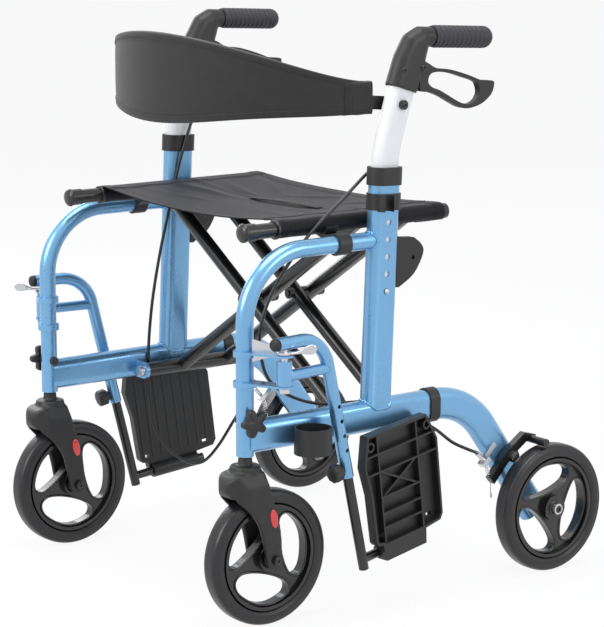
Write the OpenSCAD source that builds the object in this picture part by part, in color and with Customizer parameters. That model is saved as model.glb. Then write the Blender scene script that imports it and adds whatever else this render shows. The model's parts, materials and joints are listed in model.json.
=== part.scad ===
// Rollator transport chair, unfolded, hangers swung to the rear and foot plates flipped up
// Front is -Y, up is +Z, the user's left is +X, the floor is Z = 0

/* [Overall] */

// Half the distance between the planes of the two side frames
frame_x = 264; // [250:1:290]
// Wheel diameter, all four wheels
wheel_d = 200; // [190:1:206]
// Distance of each wheel centre ahead of or behind the middle
wheel_y = 254; // [240:1:270]
// Tyre width
wheel_w = 30; // [26:1:32]

/* [Front hoop] */

// Outside diameter of the hoop tube
post_d = 25.4; // [22:0.2:28]
// Wall of the hoop tube
post_wall = 2; // [1.5:0.1:3]
// Height of the lower end of the post
post_bottom_z = 253; // [245:1:265]
// Height of the top tube's centre line
hoop_z = 540; // [525:1:555]
// Bend radius of the hoop
hoop_r = 100; // [70:1:130]
// Distance from the swivel axis back to the caster axle
caster_trail = 34; // [25:1:45]

/* [Lower tube] */

// Height of the lower tube's centre line
low_z = 280; // [274:1:290]
// Height of the flat-oval section
low_h = 48; // [40:1:54]
// Width of the flat-oval section
low_w = 30; // [26:1:34]
// Wall of the flat-oval tubes
oval_wall = 2.2; // [1.6:0.1:3]
// Bend radius at the rear
rear_bend_r = 120; // [90:1:150]
// Slope of the rear leg below level, in degrees
rear_drop = 54; // [48:1:60]
// Length of the rear leg past the axle
rear_tail = 22; // [18:1:30]

/* [Upright] */

// Position of the upright's foot, front to back
up_y = -52; // [-60:1:-40]
// Lean of the upright to the rear, in degrees
up_lean = 2.5; // [0:0.5:5]
// Depth of the upright, front to back
up_depth = 50; // [44:1:54]
// Length of the upright above the lower tube's centre line
up_len = 362; // [340:1:380]
// Distance up the upright of the first height hole
hole_s = 185; // [170:1:200]
// Pitch of the height holes
hole_pitch = 25.4; // [20:0.2:30]
// Number of height holes
hole_n = 5; // [3:1:5]
// Diameter of the height holes
hole_d = 9; // [7:0.5:11]
// Height of the collar
collar_h = 26; // [20:1:32]
// Wall of the collar
collar_wall = 3; // [2:0.5:4]

/* [Handle] */

// Gap between sliding parts
slide_gap = 0.3; // [0.2:0.05:0.5]
// Wall of the white handle tube
handle_wall = 2; // [1.5:0.1:3]
// Lower end of the handle tube, up the upright
handle_s0 = 150; // [130:1:165]
// Straight handle tube that shows above the upright, up to its bend
handle_rise = 7; // [4:1:18]
// Bend radius of the handle tube
handle_r = 150; // [100:1:250]
// Bend of the handle tube, in degrees
handle_bend = 15; // [12:0.5:17]
// Bare tube from the bend to the housing
handle_len = 72; // [68:1:85]
// Length of tube inside the housing
socket_len = 24; // [18:1:30]
// Width of the housing
body_w = 32; // [28:1:32]
// Grip diameter
grip_d = 33; // [30:1:33]
// Grip length
grip_len = 113; // [100:1:125]
// Downward slope of the grip, in degrees
grip_slope = 3; // [0:0.5:6]
// Ribs on the grip
rib_n = 11; // [8:1:12]
// Thickness of the brake lever
lever_t = 12; // [9:0.5:13]
// Pin diameter of the brake lever
lever_pin_d = 5; // [4:0.5:6]
// Outside diameter of the brake cable
cable_d = 5; // [4:0.2:5.4]

/* [Casters and wheels] */

// Diameter of the caster stem
stem_d = 12; // [10:0.5:13]
// Diameter of the collar on top of the fork
fork_collar_d = 45; // [42:1:48]
// Thickness of each fork leg
fork_leg_t = 9; // [7:0.5:10]
// Gap between tyre and fork leg
fork_gap = 4; // [3:0.5:6]
// Axle diameter of the casters
caster_axle_d = 8; // [6:0.5:10]
// Axle diameter of the rear wheels
rear_axle_d = 10; // [8:0.5:12]
// Distance of the rear wheel outside the frame plane
rear_wheel_off = 50; // [49:1:56]
// Radial clearance of turning fits
run_gap = 0.05; // [0.03:0.01:0.09]
// Radial height of the tyre
tyre_t = 22; // [18:1:26]
// Hub diameter
hub_d = 40; // [34:1:44]

/* [Hangers] */

// Distance of the hanger pin from the middle
hang_x = 322; // [319:1:328]
// Hanger pin position, front to back
hang_y = -262; // [-268:1:-256]
// Swing of the stowed hanger toward the frame, in degrees
hang_stow = 7; // [4:0.5:7]
// Hanger tube diameter
hang_d = 19; // [18:0.5:20]
// Wall of the hanger tube
hang_wall = 1.7; // [1.4:0.1:2]
// Height of the hanger's upper tube
hang_z = 421; // [419:1:428]
// Bend radius of the hanger
hang_r = 55; // [45:1:60]
// Slope of the down tube from upright, in degrees
hang_slope = 13.5; // [12:0.5:16]
// Reach of the hanger from its pin to the corner of its centre lines
hang_reach = 75; // [70:1:80]
// Height of the lower end of the down tube
hang_end_z = 208; // [195:1:215]
// Height of the foot plate's hinge
foot_z = 77; // [70:1:85]
// Foot plate width
foot_w = 152; // [140:1:156]
// Foot plate height above its hinge
foot_h = 187; // [170:1:195]
// Tilt of the hinge bar, its rear end up, in degrees
foot_tilt = 7.4; // [4:0.2:9]
// Foot plate thickness
foot_t = 15; // [12:1:18]
// Hinge bar diameter
foot_bar_d = 14; // [12:0.5:15]

/* [Brace and seat] */

// Distance of brace pivots and seat rails from the middle
pivot_x = 230; // [226:1:231]
// Height of the brace pivots
pivot_z = 272; // [270:1:276]
// Height of the seat rails
rail_z = 565; // [562:1:570]
// Rail and diagonal tube diameter
rail_d = 22; // [20:0.5:22]
// Front end of the rails
rail_front_y = -262; // [-266:1:-250]
// Rear end of the rails
rail_rear_y = 104; // [98:1:112]
// Position of the front diagonal of brace A
diag_y = -86; // [-90:1:-82]
// Distance between the diagonals of one brace
diag_pitch = 90; // [86:1:94]
// Offset of brace B behind brace A
diag_step = 30; // [28:1:33]
// Pivot rod diameter
rod_d = 10; // [8:0.5:11]
// Thickness of the seat cloth
cloth_t = 1.8; // [1.4:0.1:2]
// Sag of the seat in the middle
seat_sag = 16; // [8:1:24]
// Front edge of the seat cloth
seat_front_y = -207; // [-212:1:-200]
// Rear edge of the seat cloth
seat_rear_y = 98; // [90:1:100]

/* [Backrest] */

// Distance of the backrest arms' inner faces from the middle
arm_x = 243; // [242.5:0.1:243.4]
// Thickness of the backrest arms
arm_t = 3; // [2.4:0.1:3.4]
// Distance from the arm pivot to the band's end
arm_len = 43; // [38:1:48]
// Bow of the band ahead of its ends
band_bow = 211; // [190:1:220]
// Height of the band at its ends
band_end_h = 46; // [40:1:52]
// Thickness of the padding
band_t = 16; // [12:1:18]
// Rise of the band's upper edge from its ends to the middle
band_rise = 67; // [55:1:72]
// Drop of the band's lower edge from its ends to the middle
band_drop = 18; // [10:1:22]

/* [Cane holder] */

// Outside diameter of the cane cup
cup_d = 55; // [50:1:58]
// Height of the cane cup
cup_h = 38; // [30:1:44]
// Wall of the cane cup
cup_wall = 2.5; // [2:0.5:3.5]
// Cane cup position, front to back
cup_y = -200; // [-204:1:-196]
// Height of the cup's middle below the lower tube's centre line
cup_drop = 9; // [0:1:10]

/* [Hidden] */

$fn = 48;

blue = [0.45, 0.66, 0.88];
white = [0.92, 0.92, 0.92];
black = [0.12, 0.12, 0.13];
dark = [0.2, 0.2, 0.21];
steel = [0.75, 0.75, 0.77];

bend_step = 0.2;
lap = 1;
wheel_r = wheel_d / 2;
post_y = -wheel_y - caster_trail;
post_plug = 42;

// Rear leg and its bend
leg_corner_y = wheel_y - (low_z - wheel_r) / tan(rear_drop);
rear_bend_y = leg_corner_y - rear_bend_r * tan(rear_drop / 2);
leg_y = rear_bend_y + rear_bend_r * sin(rear_drop);
leg_z = low_z - rear_bend_r + rear_bend_r * cos(rear_drop);
leg_len = (leg_z - wheel_r) / sin(rear_drop) + rear_tail;
leg_plug = 48;

// Handle tube section and the points along it
tube_w = low_w - 2 * oval_wall - 2 * slide_gap;
tube_depth = up_depth - 2 * oval_wall - 2 * slide_gap;
top_lean = up_lean + handle_bend;
function up_point(t, s) = [up_y + t * cos(up_lean) + s * sin(up_lean), low_z - t * sin(up_lean) + s * cos(up_lean)];
handle_s1 = up_len + handle_rise;
bend_t = handle_r * (1 - cos(handle_bend));
bend_s = handle_s1 + handle_r * sin(handle_bend);
function tube_point(d) = up_point(bend_t + d * sin(handle_bend), bend_s + d * cos(handle_bend));
body_yz = tube_point(handle_len);
arm_yz = tube_point(handle_len - 22);
lever_yz = [31, 31];
grip_yz = [57, 74];
button_d = hole_d - 1;

// Hanger points: distance from the pin, height
hang_turn = 90 - hang_slope;
hang_tan = hang_r * tan(hang_turn / 2);
hang_bend_r0 = hang_reach - hang_tan;
hang_bend_r1 = hang_reach + hang_tan * sin(hang_slope);
hang_bend_z1 = hang_z - hang_tan * cos(hang_slope);
hang_down = (hang_bend_z1 - hang_end_z) / cos(hang_slope);
foot_r = hang_bend_r1 + (hang_bend_z1 - foot_z) * tan(hang_slope);
foot_tube_d = hang_d - 2 * hang_wall - 2 * slide_gap;
foot_inner = 80;
knob_up = 14;
plate_z1 = 358;
plate_z2 = 402;
plate_t = 3;
pin_d = 10;
latch_t = 4.5;
latch_len = 46;

// Brake
brake_yz = [200, 184];
brake_x = low_w / 2 + 3;
arm_w = 12;
stop_yz = [146, 182];

// Rail saddles, strap and brace lugs
saddle_y = -118;
saddle_len = 22;
strap_y = 52;
strap_len = 18;
lug_y = [-130, 76];
lug_t = 6;
lug_d = 26;
pivot_tube_d = 24;
rail_wall = 1.6;
sleeve_r = rail_d / 2 + 0.2;
cradle_r = sleeve_r + cloth_t + 0.4;

clip_h = 24;
clip_drop = 58;
clip_s = up_len - clip_drop;
latch_left = 62;
latch_right = -62;

// Helpers

module oval(w, h) {
  square([w, h - w], center = true);
  translate([0, (h - w) / 2]) circle(d = w);
  translate([0, (w - h) / 2]) circle(d = w);
}

// Bend in the YZ plane, angles from +Y toward +Z
module yz_bend(a0, a1, r) {
  rotate([90, 0, 90]) rotate([0, 0, a0]) rotate_extrude(angle = a1 - a0) translate([r, 0]) children();
}

// Plate in the YZ plane, t thick and centred on X
module yz_plate(t) {
  rotate([90, 0, 90]) linear_extrude(t, center = true) children();
}

module along_y() {
  rotate([-90, 0, 0]) children();
}

module along_x() {
  rotate([0, 90, 0]) children();
}

module right() {
  mirror([1, 0, 0]) children();
}

module at_upright(s) {
  translate([frame_x, up_y, low_z]) rotate([-up_lean, 0, 0]) translate([0, 0, s]) children();
}

module at_tube_top(d) {
  translate([frame_x, tube_point(d)[0], tube_point(d)[1]]) rotate([-top_lean, 0, 0]) children();
}

module at_body() {
  translate([frame_x, body_yz[0], body_yz[1]]) children();
}

module at_hanger() {
  translate([hang_x, hang_y, 0]) rotate([0, 0, hang_stow]) children();
}

// Along the hanger's down tube, its local Z pointing down the tube
module at_down(d) {
  translate([0, hang_bend_r1 + d * sin(hang_slope), hang_bend_z1 - d * cos(hang_slope)])
    rotate([-180 + hang_slope, 0, 0]) children();
}

module at_brake() {
  translate([frame_x, brake_yz[0], brake_yz[1]]) children();
}

// Points on a smooth closed curve through p, k steps to each span
function spline(a, b, c, d, t) = 0.5 * (2 * b + (c - a) * t + (2 * a - 5 * b + 4 * c - d) * t * t
  + (3 * b - a - 3 * c + d) * t * t * t);
function ring_curve(p, k) = let (n = len(p)) [for (i = [0 : n - 1], j = [0 : k - 1])
  spline(p[(i + n - 1) % n], p[i], p[(i + 1) % n], p[(i + 2) % n], j / k)];
function line_curve(p, k) = let (n = len(p)) concat([for (i = [0 : n - 2], j = [0 : k - 1])
  spline(p[max(i - 1, 0)], p[i], p[i + 1], p[min(i + 2, n - 1)], j / k)], [p[n - 1]]);

// Solid through closed rings of points, every ring the same length
function flat(rings) = [for (r = rings) for (q = r) q];
module loft(rings) {
  n = len(rings[0]);
  m = len(rings);
  sides = [for (i = [0 : m - 2], j = [0 : n - 1]) for (f = [
      [i * n + j, i * n + (j + 1) % n, (i + 1) * n + (j + 1) % n],
      [i * n + j, (i + 1) * n + (j + 1) % n, (i + 1) * n + j]]) f];
  ends = [[for (j = [n - 1 : -1 : 0]) j], [for (j = [0 : n - 1]) (m - 1) * n + j]];
  polyhedron(flat(rings), concat(sides, ends), convexity = 6);
}

function unit(v) = v / norm(v);
module cord(p, d) {
  m = len(p);
  loft([for (i = [0 : m - 1]) let (
      t = unit(p[min(i + 1, m - 1)] - p[max(i - 1, 0)]),
      u = unit(cross(t, [1, 0, 0])),
      v = cross(t, u))
    [for (a = [0 : 45 : 315]) p[i] + d / 2 * (cos(a) * u + sin(a) * v)]]);
}

// Side frames

// Bends are a shade thicker than the straight tubes, which run into them by lap
function bend_size(d, inset) = d - 2 * inset + (inset > 0 ? -bend_step : bend_step);

module post_path(inset) {
  d = post_d - 2 * inset;
  plug = inset > 0 ? post_plug : 0;
  translate([frame_x, post_y, post_bottom_z + plug])
    cylinder(d = d, h = hoop_z - hoop_r - post_bottom_z - plug + lap);
  translate([frame_x, post_y + hoop_r, hoop_z - hoop_r]) yz_bend(90, 180, hoop_r) circle(d = bend_size(post_d, inset));
  top_end = up_point(0, (hoop_z - low_z) / cos(up_lean))[0] - (inset > 0 ? up_depth / 2 + 2 : 0);
  translate([frame_x, post_y + hoop_r - lap, hoop_z]) along_y() cylinder(d = d, h = top_end - post_y - hoop_r + lap);
}

module low_path(inset) {
  w = low_w - 2 * inset;
  h = low_h - 2 * inset;
  start = post_y + (inset > 0 ? post_d / 2 : 0);
  tail = inset > 0 ? leg_plug : 0;
  translate([frame_x, start, low_z]) along_y() linear_extrude(rear_bend_y - start + lap) oval(w, h);
  translate([frame_x, rear_bend_y, low_z - rear_bend_r]) yz_bend(90 - rear_drop, 90, rear_bend_r)
    rotate(90) oval(bend_size(low_w, inset), bend_size(low_h, inset));
  translate([frame_x, leg_y, leg_z]) rotate([-90 - rear_drop, 0, 0]) translate([0, 0, -lap])
    linear_extrude(leg_len - tail + lap) oval(w, h);
}

module brace_lug(y) {
  translate([pivot_x, y - lug_t / 2, pivot_z]) along_y() cylinder(d = lug_d, h = lug_t);
  translate([pivot_x, y - lug_t / 2, pivot_z - lug_d / 2])
    cube([frame_x - low_w / 2 + oval_wall / 2 - pivot_x, lug_t, lug_d]);
}

module side_frame() {
  color(blue) difference() {
    union() {
      post_path(0);
      low_path(0);
      at_upright(0) linear_extrude(up_len) oval(low_w, up_depth);
      for (y = lug_y) brace_lug(y);
    }
    post_path(post_wall);
    low_path(oval_wall);
    at_upright(0) linear_extrude(up_len + 1) oval(low_w - 2 * oval_wall, up_depth - 2 * oval_wall);
    for (i = [0 : hole_n - 1]) at_upright(hole_s + i * hole_pitch) along_x() cylinder(d = hole_d, h = low_w);
    translate([frame_x, post_y, post_bottom_z - 1]) cylinder(d = stem_d + 2 * run_gap, h = post_plug - 4);
    translate([frame_x - post_d, post_y, post_bottom_z + 51]) along_x() cylinder(d = 8.4, h = 2 * post_d);
    translate([frame_x - low_w, wheel_y, wheel_r]) along_x() cylinder(d = rear_axle_d + 2 * run_gap, h = 2 * low_w);
    translate([pivot_x, lug_y[0] - 10, pivot_z]) along_y()
      cylinder(d = rod_d + 2 * run_gap, h = lug_y[1] - lug_y[0] + 20);
    at_brake() along_x() cylinder(d = 8 + 2 * run_gap, h = low_w);
  }
}

module upright_collar() {
  w = collar_wall;
  color(black) at_upright(up_len + 4 - collar_h) difference() {
    linear_extrude(collar_h) oval(low_w + 2 * w, up_depth + 2 * w);
    translate([0, 0, -1]) linear_extrude(collar_h - 3) oval(low_w + 0.1, up_depth + 0.1);
    linear_extrude(collar_h + 1) oval(tube_w + 2 * slide_gap, tube_depth + 2 * slide_gap);
  }
}

// Plate from the post out to the hanger pin, with its ring on the post
module hanger_plate() {
  v = [hang_x - frame_x, hang_y - post_y];
  u = v / norm(v);
  s = [-u[1], u[0]];
  difference() {
    union() {
      linear_extrude(plate_t) union() {
        translate(v) circle(d = 24);
        polygon([s * (post_d / 2 + 2), v + s * 11, v - s * 11, -s * (post_d / 2 + 2)]);
      }
      translate([0, 0, -5]) cylinder(d = post_d + 8, h = plate_t + 5.5);
    }
    translate([0, 0, -6]) cylinder(d = post_d + 0.1, h = plate_t + 8);
    translate([v[0], v[1], -1]) cylinder(d = pin_d + 0.1, h = plate_t + 2);
  }
}

module hanger_bracket() {
  color(steel) translate([frame_x, post_y, 0])
    for (z = [plate_z1, plate_z2]) translate([0, 0, z]) hanger_plate();
}

// Saddle that carries the seat rail, hooked on the top tube
module saddle() {
  dx = frame_x - pivot_x;
  translate([frame_x, saddle_y - saddle_len / 2, hoop_z]) rotate([90, 0, 0]) mirror([0, 0, 1])
    linear_extrude(saddle_len) difference() {
      union() {
        circle(d = post_d + 7);
        translate([-dx, rail_z - hoop_z]) circle(r = cradle_r + 3.5);
        polygon([[-4, post_d / 2 + 3], [-dx - 4, rail_z - hoop_z - cradle_r - 3], [-dx + 6, rail_z - hoop_z - cradle_r - 6],
          [-4, -post_d / 2 + 2]]);
      }
      circle(d = post_d + 0.1);
      translate([-dx, rail_z - hoop_z]) circle(r = cradle_r);
      translate([-dx - cradle_r - 8, rail_z - hoop_z - 1]) square([2 * cradle_r + 16, 40]);
    }
}

module frame_clips() {
  color(black) {
    saddle();
    translate([frame_x, strap_y - strap_len / 2, low_z]) along_y() linear_extrude(strap_len) difference() {
      oval(low_w + 5, low_h + 5);
      oval(low_w + 0.1, low_h + 0.1);
    }
  }
}

module bag_hook() {
  f = up_depth / 2 + 0.1;
  color(black) difference() {
    at_upright(0) yz_plate(12)
      polygon(concat([[f, 188], [f, 262]], line_curve([[f + 31, 261], [f + 46, 250], [f + 50, 236], [f + 34, 207], [f + 6, 188]], 4)));
    at_upright(231) translate([-10, f + 31, 0]) along_x() cylinder(d = 6, h = 20);
  }
}

// Steel pins and bolts fixed to the side frame
module frame_pins() {
  color(steel) {
    translate([hang_x, hang_y, plate_z1 - 6]) cylinder(d = pin_d, h = hang_z - plate_z1 + 8);
    translate([hang_x, hang_y, plate_z1 - 7]) cylinder(d = 16, h = 6);
    translate([pivot_x, lug_y[0] - 12, pivot_z]) along_y() cylinder(d = rod_d, h = lug_y[1] - lug_y[0] + 24);
    translate([pivot_x, lug_y[0] - lug_t / 2 - 8, pivot_z]) along_y() cylinder(d = 17, h = 7.9);
    translate([pivot_x, lug_y[1] + lug_t / 2 + 0.1, pivot_z]) along_y() cylinder(d = 17, h = 7.9);
    at_brake() cylinder_x(8, 2, brake_x + arm_w + 1.5);
    at_brake() cylinder_x(15, brake_x + arm_w + 0.3, brake_x + arm_w + 3.5);
    translate([frame_x + low_w / 2 + 0.1, stop_yz[0], stop_yz[1]]) rotate([-45, 0, 0]) translate([0, -4, -8])
      cube([13, 8, 16]);
    translate([frame_x + low_w / 2 + 0.1, stop_yz[0], stop_yz[1]]) rotate([45, 0, 0]) translate([0, 0, -4])
      cube([4, 34, 8]);
    translate([frame_x + low_w / 2 + 7, stop_yz[0], stop_yz[1]]) rotate([-45, 0, 0]) along_y()
      translate([0, 0, -22]) cylinder(d = 7, h = 26);
  }
}

module cylinder_x(d, x0, x1) {
  translate([x0, 0, 0]) along_x() cylinder(d = d, h = x1 - x0);
}

// Handles

module tube_path(inset) {
  w = tube_w - 2 * inset;
  h = tube_depth - 2 * inset;
  e = inset > 0 ? 1 : 0;
  at_upright(handle_s0 - e) linear_extrude(handle_s1 - handle_s0 + e + lap) oval(w, h);
  at_upright(handle_s1) translate([0, handle_r, 0]) yz_bend(180 - handle_bend, 180, handle_r)
    rotate(90) oval(bend_size(tube_w, inset), bend_size(tube_depth, inset));
  at_tube_top(0) translate([0, 0, -lap]) linear_extrude(handle_len + socket_len + e + lap) oval(w, h);
}

module handle_tube() {
  color(white) difference() {
    tube_path(0);
    tube_path(handle_wall);
    translate([0, arm_yz[0], arm_yz[1]]) translate([frame_x - low_w, 0, 0]) along_x()
      cylinder(d = 8 + 2 * run_gap, h = 2 * low_w);
    at_upright(hole_s) along_x() cylinder(d = button_d + 0.4, h = low_w);
  }
}

module handle_body() {
  color(black) difference() {
    at_body() {
      hull() {
        rotate([-top_lean, 0, 0]) linear_extrude(5) oval(body_w, 52);
        translate([0, 14, 38]) rotate([-24, 0, 0]) linear_extrude(3) oval(body_w, 52);
      }
      hull() {
        translate([0, 14, 38]) rotate([-24, 0, 0]) linear_extrude(3) oval(body_w, 52);
        translate([0, 12, 54]) sphere(d = body_w, $fn = 32);
        translate([0, 19, 66]) sphere(d = body_w, $fn = 32);
        translate([0, 34, 73]) sphere(d = body_w, $fn = 32);
        translate([0, 41, 60]) sphere(d = 18, $fn = 24);
      }
      translate([0, 30, grip_yz[1] + 1]) rotate([-90 - grip_slope, 0, 0]) cylinder(d = grip_d - 4, h = grip_yz[0] - 30);
      translate([0, 30, grip_yz[1] + 1.4]) rotate([-90 - grip_slope, 0, 0])
        cylinder(d = grip_d - 11, h = grip_yz[0] - 30 + grip_len - 14);
      translate([-body_w / 2 + 1, lever_yz[0], lever_yz[1]]) along_x() cylinder(d = 19, h = body_w - 2);
    }
    at_tube_top(handle_len - 1) linear_extrude(socket_len + 1.2) oval(tube_w + 0.2, tube_depth + 0.2);
    at_body() translate([-lever_t / 2 - 0.5, lever_yz[0] - 10.5, -30]) cube([lever_t + 1, 60, lever_yz[1] + 41]);
    at_body() translate([-20, lever_yz[0], lever_yz[1]]) along_x() cylinder(d = lever_pin_d + 2 * run_gap, h = 40);
  }
}

module grip() {
  r = grip_d / 2;
  pitch = (grip_len - 18) / rib_n;
  ribs = [for (i = [0 : rib_n - 1]) for (q = [[r - 1, 4 + i * pitch], [r, 4 + (i + 0.15) * pitch],
    [r, 4 + (i + 0.6) * pitch], [r - 1, 4 + (i + 0.75) * pitch]]) q];
  tip = [for (a = [0 : 15 : 90]) [r - 14 + 14 * cos(a), grip_len - 14 + 14 * sin(a)]];
  color(dark) at_body() translate([0, grip_yz[0], grip_yz[1]]) rotate([-90 - grip_slope, 0, 0]) difference() {
    rotate_extrude() polygon(concat([[0, 0.2], [r - 1, 0.2]], ribs, tip, [[0, grip_len]]));
    translate([0, 0, -1]) cylinder(d = grip_d - 11 + 0.2, h = grip_len - 12);
  }
}

module brake_lever() {
  outer = [[-8, 2], [-5, 8], [4, 9], [15, 6], [33, -3], [57, -6], [81, -12], [103, -19], [120, -25], [141, -27],
    [146, -31], [142, -45], [131, -55], [117, -62], [96, -66], [78, -63], [61, -55], [41, -45], [21, -38],
    [5, -36], [1, -31], [0.5, -22], [0, -13], [-8, -8.5]];
  inner = [[21, -12], [32, -9], [48, -10], [64, -13], [84, -19], [107, -26], [114, -32], [117, -43], [112, -53],
    [100, -59], [86, -58], [71, -52], [54, -43], [38, -35], [24, -30], [17, -22]];
  color(black) at_body() translate([0, lever_yz[0], lever_yz[1]]) {
    yz_plate(lever_t) difference() {
      polygon(ring_curve(outer, 4));
      polygon(ring_curve(inner, 3));
    }
    cylinder_x(lever_pin_d, -body_w / 2 + 1, body_w / 2 - 1);
  }
}

// Cable points for the left side: across, front to back, up
cable_top = [frame_x - 11, body_yz[0] + 22, body_yz[1] - 10];
cable_left = line_curve([cable_top, [248, 4, 712], [242.5, -26, 655], [242.5, -60, 629], [245, -96, 603], [246.2, -164, 552],
  [246.2, -222, 485], [246, -247, 430], [244, -244, 385], [242, -228, 350], [241, -190, 322], [240, -135, 303],
  [241, -60, 296], [244.6, -8, 291], [245.6, 20, 275], [246, 43, 258], [246.6, 61, 247], [248, 84, 232],
  [262, 102, 214], [280, 118, 204],
  [frame_x + low_w / 2 + 7, stop_yz[0] - 17, stop_yz[1] + 17]], 3);
cable_right = line_curve([cable_top, [248, 2, 712], [242.5, -28, 660], [242.5, -40, 628], [244.5, -50, 596], [246.2, -64, 540],
  [246.2, -86, 460], [246.2, -104, 370], [246.2, -112, 278], [243, -108, 190], [238, -88, 141], [234, -49, 108],
  [234, -15, 101], [236, 18, 122], [238, 55, 164], [244, 84, 192], [262, 104, 202], [280, 118, 203],
  [frame_x + low_w / 2 + 7, stop_yz[0] - 17, stop_yz[1] + 17]], 3);

module left_brake_cable() {
  color(black) cord(cable_left, cable_d);
}

module right_brake_cable() {
  color(black) right() cord(cable_right, cable_d);
}

module height_button() {
  x1 = low_w / 2 + 2;
  color(steel) at_upright(hole_s) {
    cylinder_x(button_d, tube_w / 2 - handle_wall - 7, x1);
    translate([x1 - 1.5, 0, 0]) intersection() {
      sphere(d = button_d, $fn = 32);
      cylinder_x(button_d + 2, 0, button_d);
    }
  }
}

// Casters and wheels

// Fork: side, plan and front outlines cut from one block, hollow over the wheel
module caster_fork() {
  leg_x = wheel_w / 2 + fork_gap;
  w = leg_x + fork_leg_t;
  front = [[-20, 232], [-32, 228], [-39, 220], [-41, 211], [-38, 203], [-31, 194], [-22, 186], [-6, 171], [6, 154],
    [13, 132], [17, 112], [20, 96]];
  back = [[48, 92], [46, 118], [44, 142], [39, 164], [33, 184], [27, 202], [23, 218], [20, 232]];
  shoulder = [[w + 12, 60], [w + 12, 200], [w + 2, 205], [w - 0.6, 213], [w - 3.5, 222], [w - 7.5, 233]];
  color(black) translate([frame_x, post_y, 0]) difference() {
    union() {
      translate([0, 0, 231]) cylinder(d = fork_collar_d, h = 9);
      translate([0, 0, 239]) cylinder(d = 21, h = post_bottom_z - 0.5 - 239);
      intersection() {
        yz_plate(2 * w + 20) polygon(concat(line_curve(front, 2), [[26, 86], [34, 83], [42, 86]], line_curve(back, 2)));
        translate([0, 0, 50]) linear_extrude(200) hull() {
          translate([0, -17]) circle(r = 24.3);
          for (s = [-1, 1]) translate([s * (w - 23), -10]) circle(r = 23);
          translate([-w, 40]) square([2 * w, 12]);
        }
        translate([0, 80, 0]) rotate([90, 0, 0]) linear_extrude(160)
          polygon(concat(shoulder, [for (i = [5 : -1 : 0]) [-shoulder[i][0], shoulder[i][1]]]));
      }
    }
    translate([0, 0, 198]) cylinder(d = stem_d + 0.1, h = 70);
    translate([0, caster_trail, wheel_r]) translate([-40, 0, 0]) along_x() cylinder(d = caster_axle_d + 0.1, h = 80);
    translate([-leg_x, 0, 0]) hull() {
      translate([0, caster_trail, wheel_r]) along_x() cylinder(r = wheel_r + 4, h = 2 * leg_x);
      translate([0, -17, 171]) along_x() cylinder(r = 30, h = 2 * leg_x);
    }
  }
}

module caster_stem() {
  leg_x = wheel_w / 2 + fork_gap + fork_leg_t;
  color(steel) translate([frame_x, post_y, 0]) {
    translate([0, 0, 206]) cylinder(d = stem_d, h = post_bottom_z + post_plug - 8 - 206);
    translate([0, caster_trail, wheel_r]) {
      cylinder_x(caster_axle_d, -leg_x - 2, leg_x + 2);
      cylinder_x(13, leg_x + 0.1, leg_x + 4);
      cylinder_x(13, -leg_x - 4, -leg_x - 0.1);
    }
  }
}

// Tyre, its axis along X
module tyre() {
  w = wheel_w / 2;
  r0 = wheel_r - tyre_t;
  along_x() rotate_extrude($fn = 96) polygon([[r0, 1 - w], [r0 + 10, -w], [wheel_r - 6, 1.5 - w], [wheel_r - 1.8, 6 - w],
    [wheel_r, 11 - w], [wheel_r, w - 11], [wheel_r - 1.8, w - 6], [wheel_r - 6, w - 1.5], [r0 + 10, w], [r0, w - 1]]);
}

// Rim with three openings, hub bored for the axle
module rim(bore, turn) {
  r0 = wheel_r - tyre_t - 0.05;
  k = wheel_r / 100;
  opening = ring_curve(k * [[32, 47], [45, 51], [57, 40], [67, 20], [68, -5], [59, -34], [45, -45], [32, -37],
    [26, -12], [26, 20]], 3);
  along_x() difference() {
    union() {
      difference() {
        translate([0, 0, 1.5 - wheel_w / 2]) cylinder(r = r0, h = wheel_w - 3, $fn = 96);
        for (s = [-1, 1]) translate([0, 0, s * wheel_w / 2]) cylinder(r = r0 - 5, h = wheel_w - 14, center = true, $fn = 96);
      }
      translate([0, 0, -wheel_w / 2 - 1]) cylinder(d = hub_d, h = wheel_w + 2);
    }
    for (i = [0 : 2]) rotate([0, 0, 120 * i + turn]) linear_extrude(2 * wheel_w, center = true) polygon(opening);
    cylinder(d = bore + 2 * run_gap, h = 3 * wheel_w, center = true);
  }
}

module at_caster() {
  translate([frame_x, post_y + caster_trail, wheel_r]) children();
}

module at_rear() {
  translate([frame_x + rear_wheel_off, wheel_y, wheel_r]) children();
}

module caster_rim() {
  color(black) at_caster() rim(caster_axle_d, -18);
}

module caster_tyre() {
  color(dark) at_caster() tyre();
}

module rear_rim() {
  color(black) at_rear() rim(rear_axle_d, -48);
}

module rear_tyre() {
  color(dark) at_rear() tyre();
}

module rear_axle() {
  x1 = rear_wheel_off + wheel_w / 2 + 1;
  color(steel) translate([frame_x, wheel_y, wheel_r]) {
    cylinder_x(rear_axle_d, -low_w / 2 - 8, x1 + 5);
    cylinder_x(17, -low_w / 2 - 7, -low_w / 2 - 0.1);
    cylinder_x(18, low_w / 2 + 0.1, rear_wheel_off - wheel_w / 2 - 1.3);
    cylinder_x(17, x1 + 0.3, x1 + 7);
  }
}

module brake_arm() {
  bar = [[-48, -28], [-40, -38], [-12, -8], [8, 8], [26, 20], [46, 16], [44, 28], [22, 34], [4, 22], [-16, 8]];
  pad_gap = 2.2;
  d = [wheel_y - 20, wheel_r + sqrt(pow(wheel_r + pad_gap + arm_w / 2, 2) - 400)] - brake_yz;
  color(black) at_brake() {
    difference() {
      translate([brake_x + arm_w / 2, 0, 0]) yz_plate(arm_w) union() {
        polygon(bar);
        circle(d = 20);
        translate(d) circle(d = arm_w);
      }
      cylinder_x(8 + 2 * run_gap, brake_x - 5, brake_x + 30);
    }
    translate([0, d[0], d[1]]) cylinder_x(arm_w, brake_x, rear_wheel_off + wheel_w / 2);
  }
}

// Hangers and foot rests

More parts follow.
